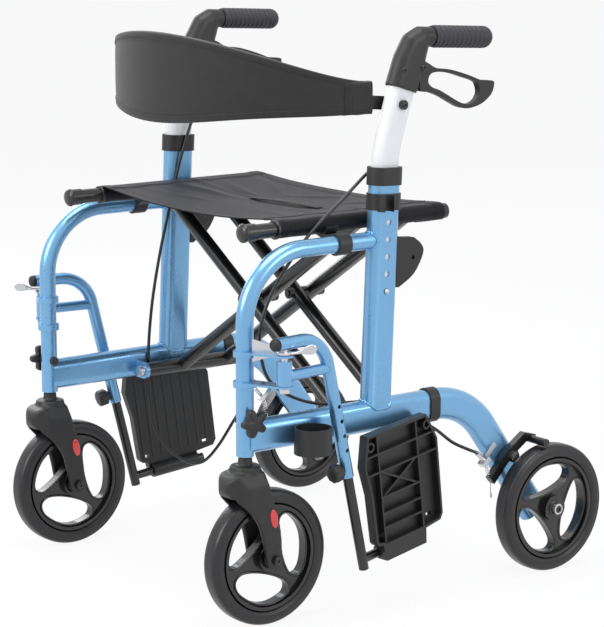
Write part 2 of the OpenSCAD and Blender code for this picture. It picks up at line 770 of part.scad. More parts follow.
module hanger_path(inset) {
  d = hang_d - 2 * inset;
  e = inset > 0 ? 1 : 0;
  start = inset > 0 ? 15 : -14;
  translate([0, start, hang_z]) along_y() cylinder(d = d, h = hang_bend_r0 - start + lap);
  translate([0, hang_bend_r0, hang_z - hang_r]) yz_bend(hang_slope, 90, hang_r) circle(d = bend_size(hang_d, inset));
  at_down(-lap) cylinder(d = d, h = hang_down + e + lap);
}

module hanger_tube() {
  cross_z = 374;
  cross_r = hang_bend_r1 + (hang_bend_z1 - cross_z) * tan(hang_slope);
  color(blue) at_hanger() difference() {
    union() {
      hanger_path(0);
      translate([0, 0, cross_z]) along_y() cylinder(d = 16, h = cross_r);
      translate([0, 0, plate_z1 + plate_t + 0.4]) cylinder(d = 22, h = plate_z2 - plate_z1 - plate_t - 5.8);
    }
    hanger_path(hang_wall);
    translate([0, 0, plate_z1 - 20]) cylinder(d = pin_d + 2 * run_gap, h = hang_z - plate_z1 + 23);
    for (i = [0 : 3]) at_down(64 + 23 * i) along_x() cylinder(d = 6, h = hang_d);
    at_down(hang_down - knob_up) rotate([-90, 0, 0]) cylinder(d = 6.4, h = hang_d);
  }
}

module latch(a) {
  z0 = plate_z2 + plate_t + 0.4;
  color(steel) translate([hang_x, hang_y, z0]) rotate([0, 0, a]) {
    linear_extrude(latch_t) difference() {
      union() {
        circle(d = 20);
        polygon(line_curve([[0, -8], [14, -7], [24, -4.5], [latch_len - 11, -5], [latch_len - 3, -4], [latch_len, 0],
          [latch_len - 3, 4], [latch_len - 11, 5], [24, 4.5], [14, 7], [0, 8]], 3));
      }
      circle(d = pin_d + 2 * run_gap);
    }
    translate([25, -4, 1]) cube([latch_len - 27, 2.6, 10.5]);
  }
}

module left_latch_lever() {
  latch(latch_left);
}

module right_latch_lever() {
  right() latch(latch_right);
}

// Frame of the hinge bar: along it is local Y, the plate's height is local Z
module at_foot() {
  at_hanger() translate([0, foot_r, foot_z]) rotate([foot_tilt, 0, 0]) children();
}

module footrest_tube() {
  bottom = (hang_bend_z1 - foot_z) / cos(hang_slope);
  color(black) difference() {
    union() {
      at_hanger() at_down(hang_down - foot_inner) cylinder(d = foot_tube_d, h = bottom + 15 - hang_down + foot_inner);
      at_foot() translate([0, -3, 0]) along_y() cylinder(d = foot_bar_d - 0.2, h = 133);
    }
    at_hanger() at_down(hang_down - foot_inner - 1)
      cylinder(d = foot_tube_d - 3.4, h = bottom - hang_down + foot_inner - 14);
  }
}

// Foot plate flipped up: skin toward the frame, ribs outward
module foot_plate() {
  x0 = 2;
  y0 = 8;
  y1 = y0 + foot_w;
  tongue = [y0 + 27, y0 + 112];
  wall = 3;
  rib_x = foot_t - 3;
  outline = [[tongue[0], -11], [tongue[1], -11], [tongue[1] + 2, 12], [y1 - 6, 15], [y1, 24], [y1 + 1, foot_h - 44],
    [y1 - 18, foot_h - 2], [y0 + 8, foot_h], [y0 - 3, foot_h - 46], [y0 + 6, foot_h - 91], [y0 + 8.5, 22], [y0 + 12, 17],
    [tongue[0] - 5, 15]];
  color(black) at_foot() difference() {
    union() {
      difference() {
        translate([x0 + foot_t / 2, 0, 0]) yz_plate(foot_t) polygon(outline);
        translate([x0 + 4 + foot_t / 2, 0, 0]) yz_plate(foot_t) difference() {
          offset(delta = -4) polygon(outline);
          translate([0, -20]) square([y1 + 20, 36]);
        }
        for (y = [y0 + 14, y1 - 26]) translate([x0 - 1, y, 24]) cube([foot_t + 2, 12, 5]);
      }
      for (z = [foot_h - 62, foot_h - 34]) translate([x0 + 2, y0 + 2, z]) cube([rib_x, foot_w - 2, wall]);
      for (z = [38, 60, 85]) translate([x0 + 2, tongue[0], z]) cube([rib_x, tongue[1] - tongue[0], wall]);
      for (y = [tongue[0], tongue[1] - wall]) translate([x0 + 2, y, 10]) cube([rib_x, wall, foot_h - 12]);
      for (s = [-1, 1]) translate([x0 + 2, (tongue[0] + tongue[1]) / 2, 106]) rotate([s * 62, 0, 0])
        translate([0, -wall / 2, -44]) cube([rib_x - 1.5, wall, 88]);
      for (y = [y0 + 14, y1 - 19]) translate([x0 + 1, y, foot_h - 18]) along_x() difference() {
        cylinder(d = 15, h = rib_x + 1.5);
        translate([0, 0, 3]) cylinder(d = 9, h = rib_x);
      }
      translate([0, tongue[0], 0]) along_y() cylinder(d = foot_bar_d + 8, h = tongue[1] - tongue[0]);
      translate([0, tongue[0] + 0.1, -foot_bar_d / 2 - 3.4])
        cube([x0 + foot_t - 0.3, tongue[1] - tongue[0] - 0.2, foot_bar_d + 8]);
    }
    translate([0, -20, 0]) along_y() cylinder(d = foot_bar_d - 0.2 + 2 * run_gap, h = foot_w + 60);
  }
}

module cube_yz(x, y, z) {
  translate([-x / 2, 0, 0]) cube([x, y, z]);
}

// Lobed knob on a stud, its axis along local Z
module knob(d, h, lobes, stud_d, stud) {
  linear_extrude(h) union() {
    circle(d = d * 0.72);
    for (i = [0 : lobes - 1]) rotate(360 / lobes * i) translate([d * 0.34, 0]) circle(d = d * 0.32);
  }
  translate([0, 0, -stud]) cylinder(d = stud_d, h = stud + 1);
}

module thumb_knob() {
  color(black) at_hanger() at_down(hang_down - knob_up) rotate([-90, 0, 0])
    translate([0, 0, hang_d / 2 + 5]) {
      knob(27, 16, 6, 6, 6.2);
      translate([0, 0, -4.5]) cylinder(d = 15, h = 5);
    }
}

module star_knob() {
  color(black) translate([frame_x + post_d / 2 + 4, post_y, post_bottom_z + 51]) along_x() {
    knob(42, 13, 5, 8, post_d + 10);
    translate([0, 0, -3.6]) cylinder(d = 14, h = 4);
    translate([0, 0, -post_d - 10]) cylinder(d = 14, h = 5.6);
  }
}

// Brace, seat and backrest

module brace(rail_side, y0) {
  rail_x = rail_side * pivot_x;
  len = norm([2 * pivot_x, rail_z - pivot_z]);
  tilt = atan2(2 * pivot_x, rail_z - pivot_z);
  r_in = rail_d / 2 - rail_wall;
  difference() {
    union() {
      translate([rail_x, rail_front_y, rail_z]) along_y() cylinder(d = rail_d, h = rail_rear_y - rail_front_y);
      translate([-rail_x, lug_y[0] + lug_t / 2 + 0.5, pivot_z]) along_y()
        cylinder(d = pivot_tube_d, h = lug_y[1] - lug_y[0] - lug_t - 1);
      for (y = [y0, y0 + diag_pitch]) translate([-rail_x, y, pivot_z]) rotate([0, rail_side * tilt, 0])
        cylinder(d = rail_d, h = len);
      translate([rail_x, rail_front_y - 6, rail_z]) along_y() cylinder(d = rail_d + 3, h = 22);
      translate([rail_x, rail_rear_y - 10, rail_z]) along_y() cylinder(d = rail_d + 1, h = 14);
    }
    translate([rail_x, rail_front_y + 10, rail_z]) along_y() cylinder(r = r_in, h = rail_rear_y - rail_front_y - 16);
    translate([-rail_x, lug_y[0], pivot_z]) along_y() cylinder(d = rod_d + 2 * run_gap, h = lug_y[1] - lug_y[0]);
    translate([0, y0 - 60, (rail_z + pivot_z) / 2]) along_y() cylinder(d = rod_d + 2 * run_gap, h = 260);
  }
}

module brace_a() {
  color(black) {
    brace(-1, diag_y);
    for (y = [diag_y, diag_y + diag_pitch]) translate([0, y, (rail_z + pivot_z) / 2]) along_y() {
      translate([0, 0, -rail_d / 2 - 8]) cylinder(d = rod_d, h = diag_step + rail_d + 16);
      translate([0, 0, -rail_d / 2 - 6]) cylinder(d = 17, h = 9);
      translate([0, 0, rail_d / 2 - 3]) cylinder(d = 17, h = diag_step - rail_d + 2.6);
      translate([0, 0, diag_step + rail_d / 2 + 0.4]) cylinder(d = 17, h = 8);
    }
  }
}

module brace_b() {
  color(black) brace(1, diag_y + diag_step);
}

// Seat cloth over both rails: outside of the cloth, then its inside, one ring to each station
function seat_drop(x, y) = let (u = x / pivot_x, v = (y - seat_front_y) / (seat_rear_y - seat_front_y))
  (1 - u * u) * (seat_sag * (0.65 + 0.7 * v * (1 - v)) + 2 * cos(540 * v + 90 * u)) * (1 - pow(abs(u), 8));
function seat_path(y, r) = concat(
  [for (a = [-56 : 24 : 88]) [pivot_x + r * cos(a), y, rail_z + r * sin(a)]],
  [for (i = [0 : 16]) let (x = pivot_x * (1 - i / 8)) [x, y, rail_z + r - seat_drop(x, y)]],
  [for (a = [88 : -24 : -56]) [-pivot_x - r * cos(a), y, rail_z + r * sin(a)]]);
function reversed(p) = [for (i = [len(p) - 1 : -1 : 0]) p[i]];

module seat_sling() {
  m = 14;
  color(dark) loft([for (i = [0 : m]) let (y = seat_front_y + (seat_rear_y - seat_front_y) * i / m)
    concat(seat_path(y, sleeve_r + cloth_t), reversed(seat_path(y, sleeve_r)))]);
}

// Padded band, bowed forward and tallest in the middle
band_x = arm_x - band_t / 2 + 2;
band_y = arm_yz[0] - arm_len + 8;
function band_axis(a) = [band_x * cos(a), band_y - band_bow * pow(sin(a), 0.8)];
function band_ring(a, k) = let (
    p = band_axis(a),
    q = band_axis(min(a + 1, 180)) - band_axis(max(a - 1, 0)),
    n = [q[1], -q[0]] / norm(q),
    f = pow(sin(a), 1.2),
    t = (band_t - 4 * (1 - f)) / 2,
    top = band_end_h / 2 + band_rise * f,
    low = -band_end_h / 2 - band_drop * pow(sin(a), 4.6),
    h = (top - low) / 2,
    z = arm_yz[1] + 9.8 + (top + low) / 2)
  [for (i = [0 : k - 1]) let (b = 360 * i / k, c = cos(b), s = sin(b))
    [p[0] + n[0] * t * sign(c) * pow(abs(c), 0.6), p[1] + n[1] * t * sign(c) * pow(abs(c), 0.6),
      z + h * sign(s) * pow(abs(s), 0.45)]];

module backrest_band() {
  color(dark) loft([for (a = [0 : 5 : 180]) band_ring(a, 16)]);
}

module back_arm() {
  color(black) translate([0, arm_yz[0], arm_yz[1]]) {
    translate([arm_x + arm_t / 2, 0, 0]) yz_plate(arm_t) union() {
      circle(d = 22);
      polygon([[0, -10], [0, 10], [-arm_len - 22, 16], [-arm_len - 22, -4]]);
    }
    cylinder_x(8, arm_x + 1, frame_x + tube_w / 2 + 4);
    cylinder_x(14, arm_x + arm_t - 1, frame_x - tube_w / 2 - 0.5);
    cylinder_x(14, frame_x + tube_w / 2 + 0.4, frame_x + tube_w / 2 + 5);
  }
}

module cane_holder() {
  cup_x = frame_x + low_w / 2 + cup_d / 2 + 1;
  cup_z = low_z - cup_drop - cup_h / 2;
  color(black) {
    difference() {
      union() {
        translate([cup_x, cup_y, cup_z]) cylinder(d = cup_d, h = cup_h);
        translate([frame_x + low_w / 2 + 0.1, cup_y - 9, low_z - 12]) cube([8, 18, 16]);
      }
      translate([cup_x, cup_y, cup_z + 3]) cylinder(d = cup_d - 2 * cup_wall, h = cup_h);
    }
    at_upright(clip_s) difference() {
      union() {
        linear_extrude(clip_h) oval(low_w + 5, up_depth + 5);
        translate([low_w / 2 + 10, -16, 0]) cylinder(d = 25, h = clip_h);
      }
      translate([0, 0, -1]) linear_extrude(clip_h + 2) oval(low_w + 0.1, up_depth + 0.1);
      translate([low_w / 2 + 12, -16, -1]) cylinder(d = 19, h = clip_h + 2);
      translate([low_w / 2 + 14, -24, -1]) cube([20, 16, clip_h + 2]);
    }
  }
}

side_frame();  // left_side_frame
right() side_frame();  // right_side_frame
upright_collar();  // left_upright_collar
right() upright_collar();  // right_upright_collar
hanger_bracket();  // left_hanger_bracket
right() hanger_bracket();  // right_hanger_bracket
frame_clips();  // left_frame_clips
right() frame_clips();  // right_frame_clips
bag_hook();  // left_bag_hook
right() bag_hook();  // right_bag_hook
frame_pins();  // left_frame_pins
right() frame_pins();  // right_frame_pins
handle_tube();  // left_handle_tube
right() handle_tube();  // right_handle_tube
handle_body();  // left_handle_body
right() handle_body();  // right_handle_body
grip();  // left_grip
right() grip();  // right_grip
brake_lever();  // left_brake_lever
right() brake_lever();  // right_brake_lever
left_brake_cable();
right_brake_cable();
height_button();  // left_height_button
right() height_button();  // right_height_button
caster_fork();  // left_caster_fork
right() caster_fork();  // right_caster_fork
caster_stem();  // left_caster_stem
right() caster_stem();  // right_caster_stem
caster_rim();  // left_caster_rim
right() caster_rim();  // right_caster_rim
caster_tyre();  // left_caster_tyre
right() caster_tyre();  // right_caster_tyre
rear_rim();  // left_rear_rim
right() rear_rim();  // right_rear_rim
rear_tyre();  // left_rear_tyre
right() rear_tyre();  // right_rear_tyre
rear_axle();  // left_rear_axle
right() rear_axle();  // right_rear_axle
brake_arm();  // left_brake_arm
right() brake_arm();  // right_brake_arm
hanger_tube();  // left_hanger_tube
right() hanger_tube();  // right_hanger_tube
left_latch_lever();
right_latch_lever();
footrest_tube();  // left_footrest_tube
right() footrest_tube();  // right_footrest_tube
foot_plate();  // left_foot_plate
right() foot_plate();  // right_foot_plate
thumb_knob();  // left_thumb_knob
right() thumb_knob();  // right_thumb_knob
star_knob();  // left_star_knob
right() star_knob();  // right_star_knob
back_arm();  // left_back_arm
right() back_arm();  // right_back_arm
brace_a();
brace_b();
seat_sling();
backrest_band();
cane_holder();
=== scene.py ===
"""Looks of a rollator transport chair: cloth, cables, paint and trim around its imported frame."""

import json
from math import cos, pi, radians, sin

import bmesh
import bpy
import numpy as np
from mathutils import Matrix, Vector


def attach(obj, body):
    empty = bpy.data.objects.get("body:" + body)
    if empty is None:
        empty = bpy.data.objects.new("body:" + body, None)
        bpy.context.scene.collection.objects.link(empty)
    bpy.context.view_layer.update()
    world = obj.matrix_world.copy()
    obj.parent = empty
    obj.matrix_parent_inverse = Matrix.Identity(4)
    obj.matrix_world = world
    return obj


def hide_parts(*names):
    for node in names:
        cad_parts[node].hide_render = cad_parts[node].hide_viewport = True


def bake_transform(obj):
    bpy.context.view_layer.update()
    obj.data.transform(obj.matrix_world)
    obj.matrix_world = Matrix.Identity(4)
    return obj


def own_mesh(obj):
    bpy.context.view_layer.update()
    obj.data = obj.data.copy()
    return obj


bl_info = {
    "name": "Rollator transport chair",
    "version": (1, 0, 0),
    "blender": (4, 5, 0),
    "location": "View3D > Sidebar > Rollator",
    "description": "Dresses the frame of a rollator transport chair with cloth, cables, paint and trim",
    "category": "Object",
}

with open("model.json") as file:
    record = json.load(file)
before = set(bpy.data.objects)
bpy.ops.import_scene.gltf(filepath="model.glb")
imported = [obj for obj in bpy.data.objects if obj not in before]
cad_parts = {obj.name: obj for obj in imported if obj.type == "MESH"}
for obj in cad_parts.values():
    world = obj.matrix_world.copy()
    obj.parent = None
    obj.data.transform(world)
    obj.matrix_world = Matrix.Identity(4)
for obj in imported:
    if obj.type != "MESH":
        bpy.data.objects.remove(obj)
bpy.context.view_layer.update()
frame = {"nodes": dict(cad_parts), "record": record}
SIDES = (("left", 1), ("right", -1))
MM = 0.001

# Places taken from the frame's drawing, in millimetres, for the left side
FRAME_X = 264.0
RAIL_X = 230.0
RAIL_Z = 565.0
RAIL_FRONT_Y = -262.0
RAIL_REAR_Y = 104.0
SLEEVE_R = 11.2
SEAT_FRONT_Y = -207.0
SEAT_REAR_Y = 98.0
UPRIGHT_Y = -52.0
UPRIGHT_LEAN = 2.5
LOW_Z = 280.0
HOOP_Z = 540.0
ARM_YZ = (-14.069, 734.898)
LEVER_YZ = (23.546, 786.879)
BAND_X = 237.0
BAND_Y = -49.069
BAND_Z = 744.698
BAND_BOW = 211.0
HANGER_PIN = (322.0, -262.0)
HANGER_STOW = radians(7)
HANGER_Z = 421.0
FOOT_RZ = (157.587, 77.0)
FOOT_TILT = radians(7.4)
CREASE_Y = -36.0
SLEEVE_SPANS = {
    "left": ("brace_b", ((-207, -72), (-40, 18), (50, 98))),
    "right": ("brace_a", ((-207, -102), (-70, -12), (20, 98))),
}
STRAP_FROM = (-46, -48)
STRAP_RUN = (157, 12)
POCKET_RUN = 46
WRINKLES = (
    (-215, 78, -20, 210, 10, 3.6), (-215, 8, -13, 200, 8, 3.0), (-215, -80, 4, 220, 10, 3.2),
    (-210, -150, 12, 200, 8, 2.4), (215, 66, 197, 190, 9, 3.0), (215, -10, 187, 190, 8, 2.8),
    (215, -100, 171, 210, 10, 3.2), (215, -165, 164, 190, 8, 2.6), (70, 70, 202, 170, 8, 2.2),
)
CASTER_AXLE = (264.0, -254.0, 100.0)
REAR_AXLE = (314.0, 254.0, 100.0)
CASTER_TURN = -18
REAR_TURN = -48
REAR_AXLE_END = (337.0, 254.0, 100.0)
TYRE_MIDDLE = 89
TYRE_HALF = (11, 15)
RIM_WEB_HALF = 7
RIM_LIP_R = 1.9
RIM_OPENING = (
    (32, 47), (45, 51), (57, 40), (67, 20), (68, -5), (59, -34), (45, -45), (32, -37), (26, -12), (26, 20),
)
HUB_HALF = 16
FORK_HALF = 28
FORK_AXLE_HALF = 32
REFLECTOR_YZ = (-258, 162)
REFLECTOR_HALF = (6.2, 14)
REFLECTOR_TIP = radians(11)
CROSS_Z = 374
CROSS_R = 8.1
PLATE_FOOT = (279, -286)
PLATE_RUN = (24, 18.4)
PLATE_LOW_HIGH = (391, 424)
STAR_FOOT = (280.7, -288.0, 304.0)
STAR_ARM = ((12.2, -36), (15.8, -22), (19.8, -12.5), (21.0, 0), (19.8, 12.5), (15.8, 22))
LATCH_FOOT = (322.0, -262.0, 405.4)
LATCH_HEADING = {"left": 62, "right": -62}
THUMB_FOOT = (307.026, -140.047, 221.613)
THUMB_AXIS = (0.1185, -0.9651, -0.2334)
# Lamps with their place, width and share of the key power, and what lamps and camera point at, in metres
LAMPS = (
    ("key_light", (-0.2, -3.3, 2.2), 2.2, 1.0),
    ("side_light", (3.2, 1.2, 1.7), 1.6, 0.42),
    ("far_light", (-2.9, 0.2, 1.8), 2.0, 0.5),
    ("top_light", (0.4, -0.4, 3.4), 2.4, 0.9),
)
LAMP_AIM = Vector((0, 0, 0.4))
CAMERA_AIM = Vector((0, 0.0147, 0.3835))
# Points of the two cable routes and of the brake spring, in millimetres, for the left side
SPRING_FOOT = (286, 149, 176)
SPRING_RUN = (0, 9, -26)
CABLE_ROUTE = {
    "left": (
        (253, 14.546, 745.879), (248, 4, 712), (242.5, -26, 655), (242.5, -60, 629), (245, -96, 603),
        (246.2, -164, 552), (246.2, -222, 485), (246, -247, 430), (244, -244, 385), (242, -228, 350),
        (241, -190, 322), (240, -135, 303), (241, -60, 296), (244.6, -8, 291), (245.6, 20, 275),
        (246, 43, 258), (246.6, 61, 247), (248, 84, 232), (262, 102, 214), (280, 118, 204), (286, 129, 199),
    ),
    "right": (
        (253, 14.546, 745.879), (248, 2, 712), (242.5, -28, 660), (242.5, -40, 628), (244.5, -50, 596),
        (246.2, -64, 540), (246.2, -86, 460), (246.2, -104, 370), (246.2, -112, 278), (243, -108, 190),
        (238, -88, 141), (234, -49, 108), (234, -15, 101), (236, 18, 122), (238, 55, 164),
        (244, 84, 192), (262, 104, 202), (280, 118, 203), (286, 129, 199),
    ),
}


def linear(red, green, blue):
    """Linear colour of an sRGB colour in 0 to 255, by the usual gamma curve."""
    c = np.array((red, green, blue)) / 255
    c = np.where(c <= 0.04045, c / 12.92, ((c + 0.055) / 1.055) ** 2.4)
    return tuple(float(v) for v in c)


def colour(name, red, green, blue, what):
    """Colour setting with an sRGB default in 0 to 255."""
    return bpy.props.FloatVectorProperty(
        name=name, description=what, default=linear(red, green, blue), subtype="COLOR", size=3, min=0, max=1
    )


def length(name, millimetres, what):
    """Length setting with its default in millimetres."""
    return bpy.props.FloatProperty(
        name=name, description=what, default=millimetres * MM, min=0,
        subtype="DISTANCE", unit="LENGTH", precision=4,
    )


class RollatorColours(bpy.types.PropertyGroup):
    """Colours of the paints, plastics and cloths."""

    frame_blue: colour("Frame blue", 116, 170, 212, "Metallic paint of the side frames and hangers")
    handle_white: colour("Handle white", 232, 232, 234, "Paint of the height-adjustable handle tubes")
    tube_black: colour("Tube black", 19, 19, 20, "Powder coat of the cross brace and foot rest tubes")
    plastic_black: colour("Plastic black", 27, 27, 28, "Moulded handle bodies, forks and plates")
    rim_black: colour("Rim black", 20, 20, 21, "Glossy moulded wheel rims")
    tyre_grey: colour("Tyre grey", 27, 26, 29, "Solid wheel tyres")
    grip_grey: colour("Grip grey", 46, 46, 51, "Soft hand grips")
    seat_charcoal: colour("Seat charcoal", 20, 19, 25, "Woven seat cloth")
    pad_black: colour("Pad black", 35, 34, 35, "Knitted cover of the backrest")
    thread_grey: colour("Thread grey", 34, 34, 36, "Sewing thread")
    reflector_red: colour("Reflector red", 214, 30, 34, "Fork reflectors")
    steel_grey: colour("Steel grey", 205, 205, 208, "Zinc-plated pins, plates and springs")


class RollatorSizes(bpy.types.PropertyGroup):
    """Sizes of the cloth, cables and trim."""

    cable_width: length("Cable width", 5, "Diameter of the brake cables")
    seat_sag: length("Seat sag", 16, "How far the seat hangs between its rails")
    seat_cloth: length("Seat cloth", 1.8, "Thickness of the seat cloth")
    hem_width: length("Hem width", 18, "Width of the seat's folded front and rear hems")
    stitch: length("Stitch", 3.6, "Length of one stitch")
    stitch_pitch: length("Stitch pitch", 5, "Distance from one stitch to the next")
    pad_thickness: length("Pad thickness", 15, "Thickness of the backrest pad")
    binding: length("Binding", 11, "Width of the tape sewn round the backrest's edge")
    weld: length("Weld", 2.2, "Radius of the weld beads")
    tread_rib: length("Tread rib", 1.2, "Height of the ribs on the foot plates")


class RollatorView(bpy.types.PropertyGroup):
    """Camera and light."""

    azimuth: bpy.props.FloatProperty(
        name="Azimuth", description="Turn of the camera round the chair",
        default=radians(52.65), subtype="ANGLE",
    )
    elevation: bpy.props.FloatProperty(
        name="Elevation", description="Height of the camera over the horizon",
        default=radians(10.73), subtype="ANGLE",
    )
    distance: length("Distance", 3721.7, "Distance from the camera to the point that it looks at")
    lens: bpy.props.FloatProperty(
        name="Lens", description="Focal length on a 36 mm sensor", default=136.24, subtype="DISTANCE_CAMERA"
    )
    key_power: bpy.props.FloatProperty(
        name="Key power", description="Power of the large soft key light",
        default=66, subtype="POWER", unit="POWER",
    )
    floor_tone: colour("Floor", 238, 238, 240, "Colour of the floor")


def grid_faces(rows, cols, ring=False):
    """Quads between neighbouring points of a rows by cols grid; with ring, each row closes on itself."""
    i, j = np.meshgrid(np.arange(rows - 1), np.arange(cols if ring else cols - 1), indexing="ij")
    k = (j + 1) % cols
    return np.stack([i * cols + j, (i + 1) * cols + j, (i + 1) * cols + k, i * cols + k], -1).reshape(-1, 4)


def part(grid, ring=True):
    """Points and quads of a grid of shape (rows, cols, 3)."""
    return grid.reshape(-1, 3), grid_faces(grid.shape[0], grid.shape[1], ring)


def capped(grid):
    """Tube grid with each end row shrunk to its middle, so that the ends are closed."""
    first = np.repeat(grid[:1].mean(1, keepdims=True), grid.shape[1], 1)
    last = np.repeat(grid[-1:].mean(1, keepdims=True), grid.shape[1], 1)
    return np.concatenate([first, grid, last])


def unit(v):
    """Each vector divided by its own length."""
    return v / np.linalg.norm(v, axis=-1, keepdims=True)


def angles(count):
    """Equal steps of a full turn."""
    return np.linspace(0, 2 * pi, count, endpoint=False)


def power(wave, exponent):
    """Size of a wave raised to an exponent, with the wave's sign."""
    return np.sign(wave) * np.abs(wave) ** exponent


def run_along(path):
    """Distance from the start of a path to each of its points."""
    return np.concatenate([[0], np.cumsum(np.linalg.norm(np.diff(path, axis=0), axis=1))])


def span_curve(a, b, c, d, steps):
    """Catmull-Rom spans from each b to its c, with a before and d after: half the sum of 2b, (c - a)t,
    (2a - 5b + 4c - d)t^2 and (3b - a - 3c + d)t^3."""
    a, b, c, d = (v[:, None] for v in (a, b, c, d))
    t = (np.arange(steps) / steps)[None, :, None]
    line = 0.5 * (2 * b + (c - a) * t + (2 * a - 5 * b + 4 * c - d) * t**2 + (3 * b - a - 3 * c + d) * t**3)
    return line.reshape(-1, b.shape[-1])


def smooth_line(points, steps):
    """Smooth curve through the points, with the given steps to each span and the end points doubled."""
    p = np.asarray(points, float)
    q = np.vstack([p[:1], p, p[-1:]])
    return np.vstack([span_curve(q[:-3], q[1:-2], q[2:-1], q[3:], steps), p[-1:]])


def smooth_ring(points, steps):
    """Closed smooth curve through the points, with the given steps to each span."""
    p = np.asarray(points, float)
    return span_curve(np.roll(p, 1, 0), p, np.roll(p, -1, 0), np.roll(p, -2, 0), steps)


def along(path, closed=False):
    """Unit direction of a path at each point, from its two neighbours."""
    if closed:
        return unit(np.roll(path, -1, 0) - np.roll(path, 1, 0))
    return unit(np.gradient(path, axis=0))


def carry(path, profile, side=(1, 0, 0), closed=False):
    """Profile (u, v) carried along a path: point = path + u * across + v * up, with across the side made
    square to the path and up square to both. A closed path comes back to its start."""
    t = along(path, closed)
    side = np.broadcast_to(np.asarray(side, float), path.shape)
    across = unit(side - (side * t).sum(-1, keepdims=True) * t)
    up = np.cross(t, across)
    profile = np.broadcast_to(profile, (len(path),) + np.shape(profile)[-2:])
    grid = path[:, None] + profile[..., :1] * across[:, None] + profile[..., 1:] * up[:, None]
    return np.concatenate([grid, grid[:1]]) if closed else grid


def circle(radius, count):
    """Points of a circle, as (u, v) rows."""
    a = angles(count)
    return np.stack([radius * np.cos(a), radius * np.sin(a)], -1)


def tube(path, radius, count=14, side=(1, 0, 0)):
    """Round tube along a path, closed at both ends."""
    return part(capped(carry(path, circle(radius, count), side)))


def turned(profile, centre, axis, count=40, wave=None):
    """Turned shape: rows of (radius, height) spun about an axis through centre. Wave, a function of the
    angle and the rows, multiplies the radius."""
    axis = unit(np.asarray(axis, float))
    u = unit(np.cross(axis, (0.3, 0.5, 0.8)))
    v = np.cross(axis, u)
    a = angles(count)
    spokes = np.cos(a)[:, None] * u + np.sin(a)[:, None] * v
    profile = np.asarray(profile, float)
    radius = profile[:, :1] * (np.ones((len(profile), count)) if wave is None else wave(a, profile))
    return np.asarray(centre, float) + profile[:, None, 1:] * axis + radius[..., None] * spokes[None]


def sheet_shell(grid, thickness):
    """Cloth with both faces and its rim: the inner face is the outer one moved in along the normal by
    its thickness."""
    normal = unit(np.cross(np.gradient(grid, axis=0), np.gradient(grid, axis=1)))
    inner = grid - normal * np.asarray(thickness)[..., None]
    rows, cols = grid.shape[:2]
    loop = np.concatenate([grid, inner[:, ::-1]], 1)
    sides = grid_faces(rows, 2 * cols, True)
    j = np.arange(cols - 1)
    first = np.stack([j, j + 1, 2 * cols - 2 - j, 2 * cols - 1 - j], -1)
    last = first + (rows - 1) * 2 * cols
    return loop.reshape(-1, 3), np.concatenate([sides, first, last])


def add_piece(name, parts, finish, body=None, uv=None, sharp=38):
    """One mesh object at the origin from (points, quads) parts in millimetres, with its seams merged and
    its faces turned outward."""
    starts = np.cumsum([0] + [len(points) for points, _ in parts[:-1]])
    points = np.concatenate([points for points, _ in parts]) * MM
    faces = np.concatenate([quads + start for (_, quads), start in zip(parts, starts)])
    mesh = bpy.data.meshes.new(name)
    mesh.from_pydata(points.tolist(), [], faces.tolist())
    if uv is not None:
        corner = np.zeros(len(mesh.loops), int)
        mesh.loops.foreach_get("vertex_index", corner)
        mesh.uv_layers.new(name="cloth").data.foreach_set("uv", uv[corner].astype(np.float32).ravel())
    shape = bmesh.new()
    shape.from_mesh(mesh)
    bmesh.ops.remove_doubles(shape, verts=shape.verts, dist=1e-6)
    bmesh.ops.dissolve_degenerate(shape, edges=shape.edges, dist=1e-7)
    bmesh.ops.recalc_face_normals(shape, faces=shape.faces)
    shape.to_mesh(mesh)
    shape.free()
    mesh.polygons.foreach_set("use_smooth", np.ones(len(mesh.polygons), bool))
    mesh.set_sharp_from_angle(angle=radians(sharp))
    mesh.materials.append(bpy.data.materials[finish])
    piece = bpy.data.objects.new(name, mesh)
    bpy.context.scene.collection.objects.link(piece)
    if body:
        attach(piece, body)
    return piece


def on_side(parts, side):
    """Parts moved to the left or, mirrored, to the right side of the chair."""
    return [(points * np.array([side, 1, 1]), quads) for points, quads in parts]


def add_sided(name, parts, side, finish, body, solid=None):
    """Piece on the left or right side that takes the slot of its own finish; a solid, if one is named, is
    hidden."""
    piece = add_piece(name, on_side(parts, side), finish, body)
    if solid:
        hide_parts(solid)


